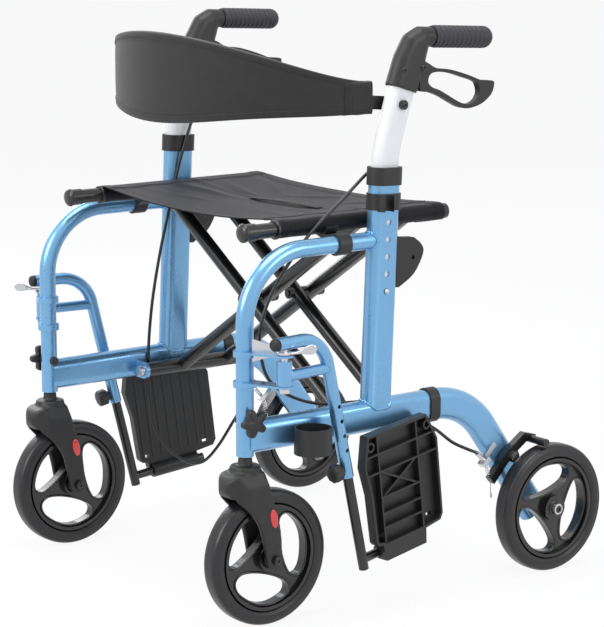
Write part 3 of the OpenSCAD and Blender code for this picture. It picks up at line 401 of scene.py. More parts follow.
class Finish:
    """One material being built: its nodes, and short ways to add and join them."""

    def __init__(self, name):
        self.material = bpy.data.materials.get(name) or bpy.data.materials.new(name)
        self.material.use_nodes = True
        self.nodes = self.material.node_tree.nodes
        self.links = self.material.node_tree.links
        self.nodes.clear()
        self.shader = self.add("ShaderNodeBsdfPrincipled")
        self.join(self.shader, "BSDF", self.add("ShaderNodeOutputMaterial"), "Surface")

    def add(self, kind, **values):
        """New node with its own settings or input values."""
        node = self.nodes.new(kind)
        for key, value in values.items():
            if hasattr(node, key):
                setattr(node, key, value)
            else:
                node.inputs[key.replace("_", " ").title()].default_value = value
        return node

    def group(self, name, source, **values):
        """Shared effect with its values, on Object or UV coordinates."""
        node = self.nodes.new("ShaderNodeGroup")
        node.node_tree = bpy.data.node_groups[name]
        for key, value in values.items():
            node.inputs[key.replace("_", " ").capitalize()].default_value = value
        self.join(self.add("ShaderNodeTexCoord"), source, node, "Vector")
        return node

    def join(self, source, output, target, socket):
        """Link from a node's output to a socket of another."""
        self.links.new(source.outputs[output], target.inputs[socket])

    def set(self, **values):
        """Values that are the same all over the surface, on the shader's own sockets."""
        for key, value in values.items():
            self.shader.inputs[key.replace("_", " ").title().replace("Ior", "IOR")].default_value = value
        return self

    def tone(self, mask, output, low, high):
        """Base colour that runs from low to high with a mask."""
        mix = self.nodes.new("ShaderNodeMix")
        mix.data_type = "RGBA"
        mix.inputs[6].default_value = (*low, 1)
        mix.inputs[7].default_value = (*high, 1)
        self.links.new(mask.outputs[output], mix.inputs[0])
        self.links.new(mix.outputs[2], self.shader.inputs["Base Color"])
        return mix

    def rough(self, mask, output, low, high):
        """Roughness that runs from low to high with a mask."""
        span = self.nodes.new("ShaderNodeMapRange")
        span.inputs[3].default_value = low
        span.inputs[4].default_value = high
        self.links.new(mask.outputs[output], span.inputs[0])
        self.links.new(span.outputs[0], self.shader.inputs["Roughness"])

    def bump(self, mask, output, strength, depth):
        """Bump of the given depth in millimetres from a height mask."""
        node = self.nodes.new("ShaderNodeBump")
        node.inputs["Strength"].default_value = strength
        node.inputs["Distance"].default_value = depth * MM
        self.links.new(mask.outputs[output], node.inputs["Height"])
        self.links.new(node.outputs[0], self.shader.inputs["Normal"])
        return node


def new_group(name, inputs, outputs):
    """Empty shader node group with named value inputs, a vector input and value outputs."""
    tree = bpy.data.node_groups.new(name, "ShaderNodeTree")
    tree.interface.new_socket("Vector", in_out="INPUT", socket_type="NodeSocketVector")
    for key, value in inputs.items():
        tree.interface.new_socket(key, in_out="INPUT", socket_type="NodeSocketFloat").default_value = value
    for key in outputs:
        tree.interface.new_socket(key, in_out="OUTPUT", socket_type="NodeSocketFloat")
    return tree, tree.nodes.new("NodeGroupInput"), tree.nodes.new("NodeGroupOutput")


def reckon(tree, operation, a, b=None, clamp=False):
    """Math node; each of a and b is a socket or a number."""
    node = tree.nodes.new("ShaderNodeMath")
    node.operation = operation
    node.use_clamp = clamp
    for socket, value in zip(node.inputs, (a, b)):
        if isinstance(value, (int, float)):
            socket.default_value = value
        elif value is not None:
            tree.links.new(value, socket)
    return node.outputs[0]


def stretched(tree, value, low, gain):
    """Mask with more contrast: a value less low, times gain, held between 0 and 1."""
    return reckon(tree, "MULTIPLY", reckon(tree, "SUBTRACT", value, low), gain, True)


def noise(tree, vector, scale, detail=3.0, roughness=0.5):
    """Noise texture value; scale is a socket or a number."""
    node = tree.nodes.new("ShaderNodeTexNoise")
    node.inputs["Detail"].default_value = detail
    node.inputs["Roughness"].default_value = roughness
    tree.links.new(vector, node.inputs["Vector"])
    if isinstance(scale, (int, float)):
        node.inputs["Scale"].default_value = scale
    else:
        tree.links.new(scale, node.inputs["Scale"])
    return node.outputs[0]


def make_groups():
    """Shared effects: grain of mouldings and paint, rubbed patches, and an over-and-under weave."""
    amounts = {"Grain": 900.0, "Patch": 9.0}
    tree, source, target = new_group("surface_grain", amounts, ("Height", "Patches", "Flecks"))
    vector, grain, patch = source.outputs[:3]
    fine = noise(tree, vector, grain, 2.0)
    broad = noise(tree, vector, patch, 4.0, 0.6)
    fleck = noise(tree, vector, reckon(tree, "MULTIPLY", grain, 1.7), 1.0)
    tree.links.new(fine, target.inputs[0])
    tree.links.new(stretched(tree, broad, 0.3, 2.4), target.inputs[1])
    tree.links.new(stretched(tree, fleck, 0.42, 5.0), target.inputs[2])

    tree, source, target = new_group("cloth_weave", {"Threads": 1400.0}, ("Height", "Threads", "Slubs"))
    split = tree.nodes.new("ShaderNodeSeparateXYZ")
    tree.links.new(source.outputs[0], split.inputs[0])
    u = reckon(tree, "MULTIPLY", split.outputs[0], source.outputs[1])
    v = reckon(tree, "MULTIPLY", split.outputs[1], source.outputs[1])
    warp = reckon(tree, "ABSOLUTE", reckon(tree, "SINE", reckon(tree, "MULTIPLY", u, pi)))
    weft = reckon(tree, "ABSOLUTE", reckon(tree, "SINE", reckon(tree, "MULTIPLY", v, pi)))
    squares = reckon(tree, "ADD", reckon(tree, "FLOOR", u), reckon(tree, "FLOOR", v))
    over = reckon(tree, "ABSOLUTE", reckon(tree, "MODULO", squares, 2))
    top = reckon(tree, "MULTIPLY", warp, over)
    under = reckon(tree, "MULTIPLY", weft, reckon(tree, "SUBTRACT", 1.0, over))
    tree.links.new(reckon(tree, "ADD", top, under), target.inputs[0])
    tree.links.new(reckon(tree, "ADD", reckon(tree, "MULTIPLY", top, 0.8), under), target.inputs[1])
    slub = noise(tree, source.outputs[0], 60.0, 4.0, 0.65)
    tree.links.new(stretched(tree, slub, 0.3, 2.4), target.inputs[2])


def shade(tone, factor):
    """Colour made lighter or darker by a factor."""
    return tuple(min(1.0, float(c) * factor) for c in tone)


def make_plain_finish(name, tone, rough, grain, depth, patch=9.0, spread=0.12, strength=0.35, **sockets):
    """Paint, plastic, rubber or steel: base colour and roughness drift in patches, and a fine grain gives
    the bump."""
    finish = Finish(name).set(**sockets)
    group = finish.group("surface_grain", "Object", grain=grain, patch=patch)
    finish.tone(group, "Patches", shade(tone, 1 - spread), shade(tone, 1 + spread))
    finish.rough(group, "Patches", rough[0], rough[1])
    finish.bump(group, "Height", strength, depth)
    return finish


def make_cloth_finish(name, tone, threads, depth, rough, sheen, gloss):
    """Woven cloth on its own flat map: thread tone, slubs and an over-and-under bump."""
    finish = Finish(name).set(sheen_weight=sheen, sheen_roughness=0.45, specular_ior_level=gloss)
    weave = finish.group("cloth_weave", "UV", threads=threads)
    finish.tone(weave, "Slubs", shade(tone, 0.8), shade(tone, 1.2))
    finish.rough(weave, "Threads", rough[1], rough[0])
    finish.bump(weave, "Height", 0.5, depth)
    return finish


class ROLLATOR_OT_finishes(bpy.types.Operator):
    """Makes every paint, plastic, rubber, cloth and metal, and puts them on the frame's own solids"""

    bl_idname = "rollator.finishes"
    bl_label = "Finishes"

    def execute(self, context):
        tones = context.scene.rollator_colours
        make_groups()
        paint = make_plain_finish(
            "frame_paint", tones.frame_blue, (0.24, 0.34), 2600, 0.05, 14, 0.06, 0.25,
            metallic=0.75, coat_weight=0.5, coat_roughness=0.14,
        )
        paint.shader.inputs["Coat IOR"].default_value = 1.5
        blue = tones.frame_blue
        paint.tone(paint.nodes["Group"], "Flecks", shade(blue, 0.94), shade(blue, 1.1))
        black = tones.tube_black
        plain = (
            ("handle_paint", tones.handle_white, (0.2, 0.3), 1500, 0.03, 12, 0.02, 0.2, {"coat_weight": 0.4}),
            ("black_paint", black, (0.24, 0.36), 700, 0.06, 20, 0.12, 0.3, {"coat_weight": 0.25}),
            ("black_plastic", tones.plastic_black, (0.4, 0.52), 1800, 0.08, 16, 0.14, 0.4, {}),
            ("rim_plastic", tones.rim_black, (0.2, 0.32), 900, 0.04, 14, 0.14, 0.25, {"coat_weight": 0.3}),
            ("tyre_rubber", tones.tyre_grey, (0.26, 0.4), 1200, 0.08, 11, 0.12, 0.4, {}),
            ("grip_rubber", tones.grip_grey, (0.52, 0.66), 1500, 0.1, 18, 0.14, 0.45, {}),
            ("cable_sheath", shade(black, 0.9), (0.26, 0.36), 1600, 0.03, 30, 0.15, 0.3, {}),
            ("zinc_steel", tones.steel_grey, (0.2, 0.36), 1400, 0.04, 40, 0.07, 0.3, {"metallic": 1.0}),
            ("sewing_thread", tones.thread_grey, (0.5, 0.7), 5000, 0.05, 60, 0.2, 0.5, {}),
            ("dark_rubber", shade(black, 0.7), (0.5, 0.62), 1500, 0.05, 20, 0.15, 0.4, {}),
        )
        for name, tone, rough, grain, depth, patch, spread, strength, sockets in plain:
            make_plain_finish(name, tone, rough, grain, depth, patch, spread, strength, **sockets)
        make_cloth_finish("seat_cloth", tones.seat_charcoal, 1500, 0.12, (0.42, 0.58), 0.05, 0.16)
        make_cloth_finish("backrest_cloth", tones.pad_black, 1100, 0.16, (0.6, 0.78), 0.2, 0.35)
        lens = make_plain_finish(
            "reflector_red", tones.reflector_red, (0.1, 0.18), 400, 0.1, 60, 0.15, 0.3,
            coat_weight=1.0, coat_roughness=0.04,
        )
        facets = lens.nodes.new("ShaderNodeTexVoronoi")
        facets.inputs["Scale"].default_value = 420
        lens.join(lens.add("ShaderNodeTexCoord"), "Object", facets, "Vector")
        lens.bump(facets, "Distance", 0.6, 0.4)
        soften = soft_edges_tree()
        for entry in frame["record"]["subparts"]:
            node = frame["nodes"][entry["node"]]
            node.data.materials.clear()
            node.data.materials.append(bpy.data.materials[entry["material_slot"]])
            node.modifiers.new("soft_edges", "NODES").node_group = soften
        return {"FINISHED"}


def soft_edges_tree():
    """Modifier for the frame's loose triangles: merge their corners, and shade smooth below 32 degrees."""
    tree = bpy.data.node_groups.new("soft_edges", "GeometryNodeTree")
    tree.interface.new_socket("Geometry", in_out="INPUT", socket_type="NodeSocketGeometry")
    tree.interface.new_socket("Geometry", in_out="OUTPUT", socket_type="NodeSocketGeometry")
    source, target = tree.nodes.new("NodeGroupInput"), tree.nodes.new("NodeGroupOutput")
    merge = tree.nodes.new("GeometryNodeMergeByDistance")
    merge.inputs["Distance"].default_value = 1e-5
    faces = tree.nodes.new("GeometryNodeSetShadeSmooth")
    edges = tree.nodes.new("GeometryNodeSetShadeSmooth")
    edges.domain = "EDGE"
    edges.inputs["Shade Smooth"].default_value = False
    angle = tree.nodes.new("GeometryNodeInputMeshEdgeAngle")
    steep = tree.nodes.new("FunctionNodeCompare")
    steep.inputs[1].default_value = radians(32)
    tree.links.new(source.outputs[0], merge.inputs["Geometry"])
    tree.links.new(merge.outputs[0], faces.inputs["Geometry"])
    tree.links.new(faces.outputs[0], edges.inputs["Geometry"])
    tree.links.new(angle.outputs["Unsigned Angle"], steep.inputs[0])
    tree.links.new(steep.outputs[0], edges.inputs["Selection"])
    tree.links.new(edges.outputs[0], target.inputs[0])
    return tree


class ROLLATOR_OT_stage(bpy.types.Operator):
    """Sets up the camera, a pale floor and soft studio light"""

    bl_idname = "rollator.stage"
    bl_label = "Stage"

    def execute(self, context):
        scene, view = context.scene, context.scene.rollator_view
        scene.view_settings.view_transform = "Standard"
        level = cos(view.elevation)
        back = Vector((sin(view.azimuth) * level, -cos(view.azimuth) * level, sin(view.elevation)))
        camera = bpy.data.objects.new("photo_camera", bpy.data.cameras.new("photo_camera"))
        camera.data.lens = view.lens
        camera.data.sensor_width = 36
        camera.data.clip_end = 120
        camera.location = CAMERA_AIM + back * view.distance
        camera.rotation_euler = (-back).to_track_quat("-Z", "Y").to_euler()
        scene.collection.objects.link(camera)
        scene.camera = camera
        for name, place, size, share in LAMPS:
            self.lamp(scene, name, place, size, view.key_power * share)
        self.room(scene, view)
        return {"FINISHED"}

    def lamp(self, scene, name, place, size, power):
        """Round soft lamp that points at the middle of the chair."""
        data = bpy.data.lights.new(name, "AREA")
        data.shape = "DISK"
        data.size = size
        data.energy = power
        lamp = bpy.data.objects.new(name, data)
        lamp.location = place
        lamp.rotation_euler = (LAMP_AIM - Vector(place)).to_track_quat("-Z", "Y").to_euler()
        scene.collection.objects.link(lamp)

    def clear_view(self, tree):
        """Socket that is 1 for rays from the camera, off gloss or through glass, and 0 for rays that only
        bring light."""
        rays = tree.nodes.new("ShaderNodeLightPath").outputs
        gloss = reckon(tree, "ADD", rays["Is Glossy Ray"], rays["Is Transmission Ray"])
        return reckon(tree, "ADD", rays["Is Camera Ray"], gloss, True)

    def room(self, scene, view):
        """World light and pale floor: white where they are seen, plain light and a shadow elsewhere."""
        world = bpy.data.worlds.new("studio")
        scene.world = world
        world.use_nodes = True
        nodes, links = world.node_tree.nodes, world.node_tree.links
        nodes.clear()
        out = nodes.new("ShaderNodeOutputWorld")
        soft = nodes.new("ShaderNodeBackground")
        white = nodes.new("ShaderNodeBackground")
        mix = nodes.new("ShaderNodeMixShader")
        soft.inputs["Color"].default_value = (0.93, 0.95, 1.0, 1)
        soft.inputs["Strength"].default_value = 0.5
        white.inputs["Strength"].default_value = 1.0
        white.inputs["Color"].default_value = (1, 1, 1, 1)
        links.new(self.clear_view(world.node_tree), mix.inputs[0])
        links.new(soft.outputs[0], mix.inputs[1])
        links.new(white.outputs[0], mix.inputs[2])
        links.new(mix.outputs[0], out.inputs[0])
        floor = bpy.data.meshes.new("floor")
        corners = np.array([(-45, -45, 0), (45, -45, 0), (45, 45, 0), (-45, 45, 0)], float)
        floor.from_pydata(corners.tolist(), [], [(0, 1, 2, 3)])
        paint = bpy.data.materials.new("floor_white")
        paint.use_nodes = True
        nodes, links = paint.node_tree.nodes, paint.node_tree.links
        nodes.clear()
        matt = nodes.new("ShaderNodeBsdfDiffuse")
        glow = nodes.new("ShaderNodeEmission")
        mix = nodes.new("ShaderNodeMixShader")
        matt.inputs["Color"].default_value = (*view.floor_tone, 1)
        clear = self.clear_view(paint.node_tree)
        links.new(reckon(paint.node_tree, "MULTIPLY", clear, 0.9), mix.inputs[0])
        links.new(matt.outputs[0], mix.inputs[1])
        links.new(glow.outputs[0], mix.inputs[2])
        links.new(mix.outputs[0], nodes.new("ShaderNodeOutputMaterial").inputs[0])
        floor.materials.append(paint)
        ground = bpy.data.objects.new("floor", floor)
        scene.collection.objects.link(ground)


class ROLLATOR_OT_cables(bpy.types.Operator):
    """Lays the two brake cables from the handles to the rear brakes"""

    bl_idname = "rollator.cables"
    bl_label = "Brake cables"

    def execute(self, context):
        width = context.scene.rollator_sizes.cable_width / MM
        for name, side in SIDES:
            line = smooth_line(CABLE_ROUTE[name], 8) * np.array([side, 1, 1])
            sheath = add_piece(f"{name}_cable_sheath", [tube(line, width / 2, 14)], "cable_sheath")
            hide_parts(f"{name}_brake_cable")
            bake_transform(sheath)
        return {"FINISHED"}


def seat_drop(x, y, sag):
    """Sag of the seat: deepest in the middle, with three soft waves from front to rear, none at the rails."""
    u = x / RAIL_X
    v = (y - SEAT_FRONT_Y) / (SEAT_REAR_Y - SEAT_FRONT_Y)
    waves = 2 * np.cos(3 * pi * v + 0.5 * pi * u)
    return (1 - u**2) * (sag * (0.65 + 0.7 * v * (1 - v)) + waves) * (1 - np.abs(u) ** 8)


def seat_wrinkles(x, y):
    """Height of the seat's wrinkles: each a ridge along a straight run from a start, with a bell-shaped
    section and faded at both ends, and a crease from rail to rail beside the pull strap."""
    height = 0 * x * y
    for x0, y0, heading, run, width, rise in WRINKLES:
        ahead = (x - x0) * cos(radians(heading)) + (y - y0) * sin(radians(heading))
        aside = (y - y0) * cos(radians(heading)) - (x - x0) * sin(radians(heading))
        share = np.clip(ahead / run, 0, 1)
        height = height + rise * np.exp(-((aside / width) ** 2)) * np.sin(pi * share**0.7) ** 2
    line = y - CREASE_Y - 4 * np.sin(x / 70)
    crease = 2.4 * np.exp(-((line / 5) ** 2)) - 2.2 * np.exp(-(((line - 10) / 7) ** 2))
    return height + crease * np.clip(1 - np.abs(x / RAIL_X), 0, 1) ** 0.5


def seat_surface(sag, cloth, hem):
    """Outer face of the seat: each row runs round the left rail, across the sagging panel and round the right
    rail, and the rows go from front to rear. Pull folds fan from the corners, and hems lie thicker."""
    r = SLEEVE_R + cloth
    y = np.linspace(SEAT_FRONT_Y, SEAT_REAR_Y, 78)[:, None]
    turn = np.radians(np.linspace(-56, 88, 13))
    x = np.linspace(RAIL_X, -RAIL_X, 121)[1:-1]
    across = np.concatenate([RAIL_X + r * np.cos(turn), x, -RAIL_X - r * np.cos(turn[::-1])])[None]
    round_rail = RAIL_Z + r * np.sin(turn)
    height = np.concatenate([round_rail, RAIL_Z + r + 0 * x, round_rail[::-1]])[None]
    inside = np.clip(1 - np.abs(across / RAIL_X), 0, 1)
    v = (y - SEAT_FRONT_Y) / (SEAT_REAR_Y - SEAT_FRONT_Y)
    panel = np.abs(across) < RAIL_X
    z = height - np.where(panel, seat_drop(across, y, sag), 0)
    fan = np.sin(34 * v + 5 * inside * np.sign(v - 0.5)) * np.exp(-7 * inside) * inside * 10
    creases = 0.5 * np.sin(across / 17 + 6 * v) * np.sin(9 * v + across / 60) * inside
    edge = np.minimum(y - SEAT_FRONT_Y, SEAT_REAR_Y - y)
    fold = 0.9 / (1 + np.exp((edge - hem) / 0.7))
    valley = -0.9 * np.exp(-((edge - hem) / 1.8) ** 2)
    seam = -0.9 * np.exp(-((np.abs(across) - (RAIL_X - 26)) / 2.2) ** 2)
    creases = creases + seat_wrinkles(across, y)
    lift = np.where(panel, (fan + creases) * np.minimum(1, edge / 26), 0) + fold + valley
    lift = lift + np.where(panel, seam, 0)
    lift_x = np.where(panel, 0, (across - np.sign(across) * RAIL_X) / r)
    lift_z = np.where(panel, 1, (height - RAIL_Z) / r)
    return np.stack([across + lift * lift_x, y + 0 * across, z + lift * lift_z], -1)


def stitch_row(path, normal, size, pitch, width=0.55, closed=False):
    """Thread stitches along a path: at each pitch a small spindle of six sides lies along the path."""
    if closed:
        path, normal = np.vstack([path, path[:1]]), np.vstack([normal, normal[:1]])
    run = run_along(path)
    at = np.arange(pitch / 2, run[-1], pitch)
    centre = np.stack([np.interp(at, run, path[:, k]) for k in range(3)], -1)
    up = unit(np.stack([np.interp(at, run, normal[:, k]) for k in range(3)], -1))
    ahead = unit(np.stack([np.interp(at, run, along(path)[:, k]) for k in range(3)], -1))
    side = np.cross(up, ahead)
    s = np.linspace(-1, 1, 5)
    girth = width * np.sqrt(np.clip(1 - s**2, 0, 1))
    a = angles(6)
    grid = (
        centre[:, None, None]
        + (s * size / 2)[None, :, None, None] * ahead[:, None, None]
        + (girth[:, None] * np.cos(a))[None, :, :, None] * side[:, None, None]
        + (girth[:, None] * np.sin(a))[None, :, :, None] * up[:, None, None]
    )
    count, rows, cols = grid.shape[:3]
    quads = grid_faces(rows, cols, True)[None] + (np.arange(count) * rows * cols)[:, None, None]
    return grid.reshape(-1, 3), quads.reshape(-1, 4)


class ROLLATOR_OT_seat(bpy.types.Operator):
    """Stretches the seat cloth over its two rails, with hems, stitching and a pull strap"""

    bl_idname = "rollator.seat"
    bl_label = "Seat"

    def execute(self, context):
        sizes = context.scene.rollator_sizes
        sag, cloth, hem = (v / MM for v in (sizes.seat_sag, sizes.seat_cloth, sizes.hem_width))
        grid = seat_surface(sag, cloth, hem)
        run = run_along(grid[len(grid) // 2])
        rows, cols = grid.shape[:2]
        flat = np.stack(np.broadcast_arrays(run[None], grid[:, :1, 1] - SEAT_FRONT_Y), -1) * MM
        uv = np.concatenate([flat, flat[:, ::-1]], 1).reshape(-1, 2)
        shell = sheet_shell(grid, np.full((rows, cols), cloth))
        seat = add_piece("seat_panel", [shell], "seat_cloth", uv=uv, sharp=70)
        normal = unit(np.cross(np.gradient(grid, axis=0), np.gradient(grid, axis=1)))
        normal *= np.sign(normal[rows // 2, cols // 2, 2])
        lines = []
        for y in (SEAT_FRONT_Y + hem, SEAT_REAR_Y - hem):
            k = int(np.argmin(np.abs(grid[:, 0, 1] - y)))
            lines.append((grid[k], normal[k]))
        for offset in (-23, -29):
            for sign in (1, -1):
                k = int(np.argmin(np.abs(grid[rows // 2, :, 0] - sign * (RAIL_X + offset))))
                lines.append((grid[:, k], normal[:, k]))
        size, pitch = sizes.stitch / MM, sizes.stitch_pitch / MM
        parts = [stitch_row(path + 0.25 * up, up, size, pitch) for path, up in lines]
        thread = add_piece("seat_stitching", parts, "sewing_thread")
        strap = self.strap(sag, cloth)
        for piece in (seat, thread, strap):
            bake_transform(piece)
        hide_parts("seat_sling")
        sleeves = [self.sleeve(name, side, cloth) for name, side in SIDES]
        return {"FINISHED"}

    def strap(self, sag, cloth):
        """Pull strap: flat tape from one sewn end to the other, bowed up a little in the middle."""
        t = np.linspace(0, 1, 41)
        x, y = (start + run * t for start, run in zip(STRAP_FROM, STRAP_RUN))
        z = RAIL_Z + SLEEVE_R + cloth - seat_drop(x, y, sag) + 1.5 + 4 * np.sin(pi * t) ** 0.8
        path = np.column_stack([x, y, z])
        half = np.linspace(-1, 1, 9)
        round_edge = 1.1 * np.sqrt(np.clip(1 - half**8, 0, 1))
        upper = np.stack([6 * half, round_edge], -1)
        lower = np.stack([6 * half[::-1], -round_edge[::-1]], -1)[1:-1]
        loop = np.concatenate([upper, lower])
        return add_piece("seat_pull_strap", [part(capped(carry(path, loop, (0, 1, 0))))], "sewing_thread")

    def sleeve(self, name, side, cloth):
        """Under half of a rail sleeve: the cloth goes on round the rail from below to the inner side, cut out
        where the brace tubes meet the rail."""
        body, spans = SLEEVE_SPANS[name]
        a = np.radians(np.linspace(-57, -228, 24))
        parts = []
        for y0, y1 in spans:
            y = np.linspace(y0, y1, 12)[:, None]
            r = SLEEVE_R + cloth + 0.25 * np.sin(y / 9)
            grid = np.stack(np.broadcast_arrays(RAIL_X + r * np.cos(a), y, RAIL_Z + r * np.sin(a)), -1)
            parts.append(sheet_shell(grid[:, ::-1], np.full(grid.shape[:2], cloth)))
        uv = np.concatenate([p for p, _ in parts])[:, 1:] * MM
        return add_piece(f"seat_sleeve_{name}", on_side(parts, side), "seat_cloth", body, uv=uv)


def band_line(a):
    """Middle line of the backrest from above: across by the cosine, forward by the sine to the power 0.8."""
    sine = np.clip(np.sin(a), 0, 1)
    return BAND_X * np.cos(a), BAND_Y - BAND_BOW * sine**0.8, sine


def band_edge(sine, sign):
    """Height of the backrest's upper (1) or lower (-1) edge: 23 from the middle at the ends of the bow, then
    up by 67 with the sine to the power 1.2, or down by 18 with its power 4.6."""
    if sign > 0:
        return BAND_Z + 23 + 67 * sine**1.2
    return BAND_Z - 23 - 18 * sine**4.6


def band_place(a, b, thick):
    """Point of the backrest at a along its bow and b round its section: a superellipse of exponents 0.6
    and 0.42 between the two edges, thickest in the middle of the bow."""
    x, y, sine = band_line(a)
    tangent = unit(np.stack([np.gradient(x), np.gradient(y)], -1))
    out = np.stack([tangent[:, 1], -tangent[:, 0]], -1)
    top, low = band_edge(sine, 1), band_edge(sine, -1)
    t = (thick - 4 * (1 - sine**1.2)) / 2
    side = t[:, None] * power(np.cos(b), 0.6)[None]
    rise = power(np.sin(b), 0.42)[None]
    z = (top + low)[:, None] / 2 + (top - low)[:, None] / 2 * rise
    return np.stack([x[:, None] + out[:, :1] * side, y[:, None] + out[:, 1:] * side, z], -1)


def swell(piece, pressure, cap, held):
    """Short cloth simulation: pressure from inside, the held points pinned, each point's travel capped."""
    mesh, scene = piece.data, bpy.context.scene
    rest = np.zeros(len(mesh.vertices) * 3)
    mesh.vertices.foreach_get("co", rest)
    pins = piece.vertex_groups.new(name="sewn")
    pins.add([int(i) for i in held], 1.0, "REPLACE")
    cloth = piece.modifiers.new("swell", "CLOTH")
    cloth.settings.use_pressure = True
    cloth.settings.uniform_pressure_force = pressure
    cloth.settings.effector_weights.gravity = 0
    cloth.settings.vertex_group_mass = "sewn"
    cloth.settings.quality = 5
    cloth.settings.tension_stiffness = 25
    cloth.settings.bending_stiffness = 2
    cloth.collision_settings.use_collision = False
    cloth.point_cache.frame_start = 1
    cloth.point_cache.frame_end = 20
    for step in range(1, 21):
        scene.frame_set(step)
    done = piece.evaluated_get(bpy.context.evaluated_depsgraph_get()).to_mesh()
    moved = np.zeros(len(rest))
    done.vertices.foreach_get("co", moved)
    piece.evaluated_get(bpy.context.evaluated_depsgraph_get()).to_mesh_clear()
    piece.modifiers.remove(cloth)
    piece.vertex_groups.remove(pins)
    scene.frame_set(1)
    travel = (moved - rest).reshape(-1, 3)
    far = np.linalg.norm(travel, axis=1, keepdims=True)
    travel *= np.minimum(1, cap / np.maximum(far, 1e-9))
    mesh.vertices.foreach_set("co", (rest + travel.ravel()))
    mesh.update()


class ROLLATOR_OT_backrest(bpy.types.Operator):
    """Makes the padded backrest band with its sewn edge tape"""

    bl_idname = "rollator.backrest"
    bl_label = "Backrest"
    thick = 15.0

    def execute(self, context):
        sizes = context.scene.rollator_sizes
        self.thick, tape = sizes.pad_thickness / MM, sizes.binding / MM
        a = np.linspace(0, pi, 151)
        grid = band_place(a, angles(64), self.thick)
        run = run_along(grid[:, 0])
        uv = np.stack(np.broadcast_arrays(run[:, None], grid[..., 2]), -1) * MM
        uv = np.concatenate([uv[:1], uv, uv[-1:]]).reshape(-1, 2)
        pad = add_piece("backrest_pad", [part(capped(grid))], "backrest_cloth", uv=uv, sharp=75)
        place = np.zeros(len(pad.data.vertices) * 3)
        pad.data.vertices.foreach_get("co", place)
        swell(pad, 3.0, 4 * MM, self.sewn(place.reshape(-1, 3) / MM, tape))
        edge = [self.tape(a, sign, tape) for sign in (1, -1)] + [self.pocket(side) for side in (1, -1)]
        rim = add_piece("backrest_tape", edge, "backrest_cloth", uv=self.flat_map(edge), sharp=75)
        rows = []
        for sign in (1, -1):
            for face in (1, -1):
                rows.append(self.seam(a, sign, face, tape, sizes))
            rows.append(self.pocket_seam(sign, sizes))
        thread = add_piece("backrest_stitching", rows, "sewing_thread")
        for piece in (pad, rim, thread):
            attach(piece, "backrest")
            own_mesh(piece)
        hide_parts("backrest_band")
        return {"FINISHED"}

    def sewn(self, place, tape):
        """Points of the pad that lie under the tape, or at its ends, stay where they are sewn."""
        sine = np.sqrt(np.clip(1 - (place[:, 0] / BAND_X) ** 2, 0, 1))
        inside = np.minimum(band_edge(sine, 1) - place[:, 2], place[:, 2] - band_edge(sine, -1))
        return np.nonzero((inside < tape) | (place[:, 1] > BAND_Y - POCKET_RUN))[0]

    def flat_map(self, parts):
        """Flat map of the tape and pockets: x plus y along it, and the height across."""
        points = np.concatenate([p for p, _ in parts])
        return np.stack([points[:, 0] + points[:, 1], points[:, 2]], -1) * MM

    def edge_line(self, a, sign, inset):
        """Line along the bow at an inset from the upper or lower edge, and half the pad's thickness there."""
        x, y, sine = band_line(a)
        half = (self.thick - 4 * (1 - sine**1.2)) / 2
        return np.stack([x, y, band_edge(sine, sign) - sign * inset], -1), half

    def tape(self, a, sign, tape):
        """Tape over the top or bottom edge: a flat U a little wider than the pad, carried along the bow."""
        base, half = self.edge_line(a, sign, tape / 2 - 0.7)
        c = angles(28)
        across = power(np.cos(c), 0.35)
        up = power(np.sin(c), 0.35) * tape / 2
        taper = np.where(np.sin(c) * sign > 0, 1 - 0.35 * np.abs(np.sin(c)) ** 3, 1.0)
        wide = half[:, None] * 0.93 * (across * taper)[None] + 0.5 * across[None]
        out = unit(np.cross(along(base), (0, 0, 1)))
        grid = base[:, None] + wide[..., None] * out[:, None] + up[None, :, None] * np.array([0, 0, 1.0])
        return part(capped(grid))

    def pocket_line(self):
        """Rows of a pocket from the band's end: place along, middle across and half thickness, thinning into
        the pad."""
        s = np.linspace(0, 1, 18)
        y = BAND_Y + 3 - POCKET_RUN * s
        sine = (np.clip(BAND_Y - y, 0, None) / BAND_BOW) ** 1.25
        return y, BAND_X * np.sqrt(1 - sine**2) + 2.4 * (1 - s**4), 8.6 - 2.0 * s**3

    def pocket(self, side):
        """Sewn pocket that takes the arm at one end of the band: rounded boxes of exponent 0.3 along its
        rows."""
        y, x, half = self.pocket_line()
        c = angles(36)
        across = x[:, None] + half[:, None] * power(np.cos(c), 0.3)[None]
        tall = 23.8 + 0.3 * np.sin(y / 4)
        up = BAND_Z + tall[:, None] * power(np.sin(c), 0.3)[None]
        return part(capped(np.stack(np.broadcast_arrays(side * across, y[:, None], up), -1)))

    def pocket_seam(self, side, sizes):
        """Stitches in a rectangle on the pocket's outer face."""
        y, x, half = self.pocket_line()
        corners = np.array([(-8, -17), (-8, 17), (-38, 17), (-38, -17), (-8, -17)], float)
        ring = np.concatenate([np.linspace(p, q, 12, endpoint=False) for p, q in zip(corners, corners[1:])])
        outer = np.interp(-(ring[:, 0] + BAND_Y), -y, x + half)
        path = np.stack([side * (outer + 0.3), ring[:, 0] + BAND_Y, ring[:, 1] + BAND_Z], -1)
        normal = np.broadcast_to(np.array([side, 0, 0], float), path.shape)
        return stitch_row(path, normal, sizes.stitch / MM, sizes.stitch_pitch / MM, 0.5, True)

    def seam(self, a, sign, face, tape, sizes):
        """Row of stitches on the tape's inner border."""
        base, half = self.edge_line(a, sign, tape - 3.0)
        out = unit(np.cross(along(base), (0, 0, 1))) * face
        path = base + out * (half * 0.93 + 0.7)[:, None]
        return stitch_row(path[6:-6], out[6:-6], sizes.stitch / MM, sizes.stitch_pitch / MM, 0.5)


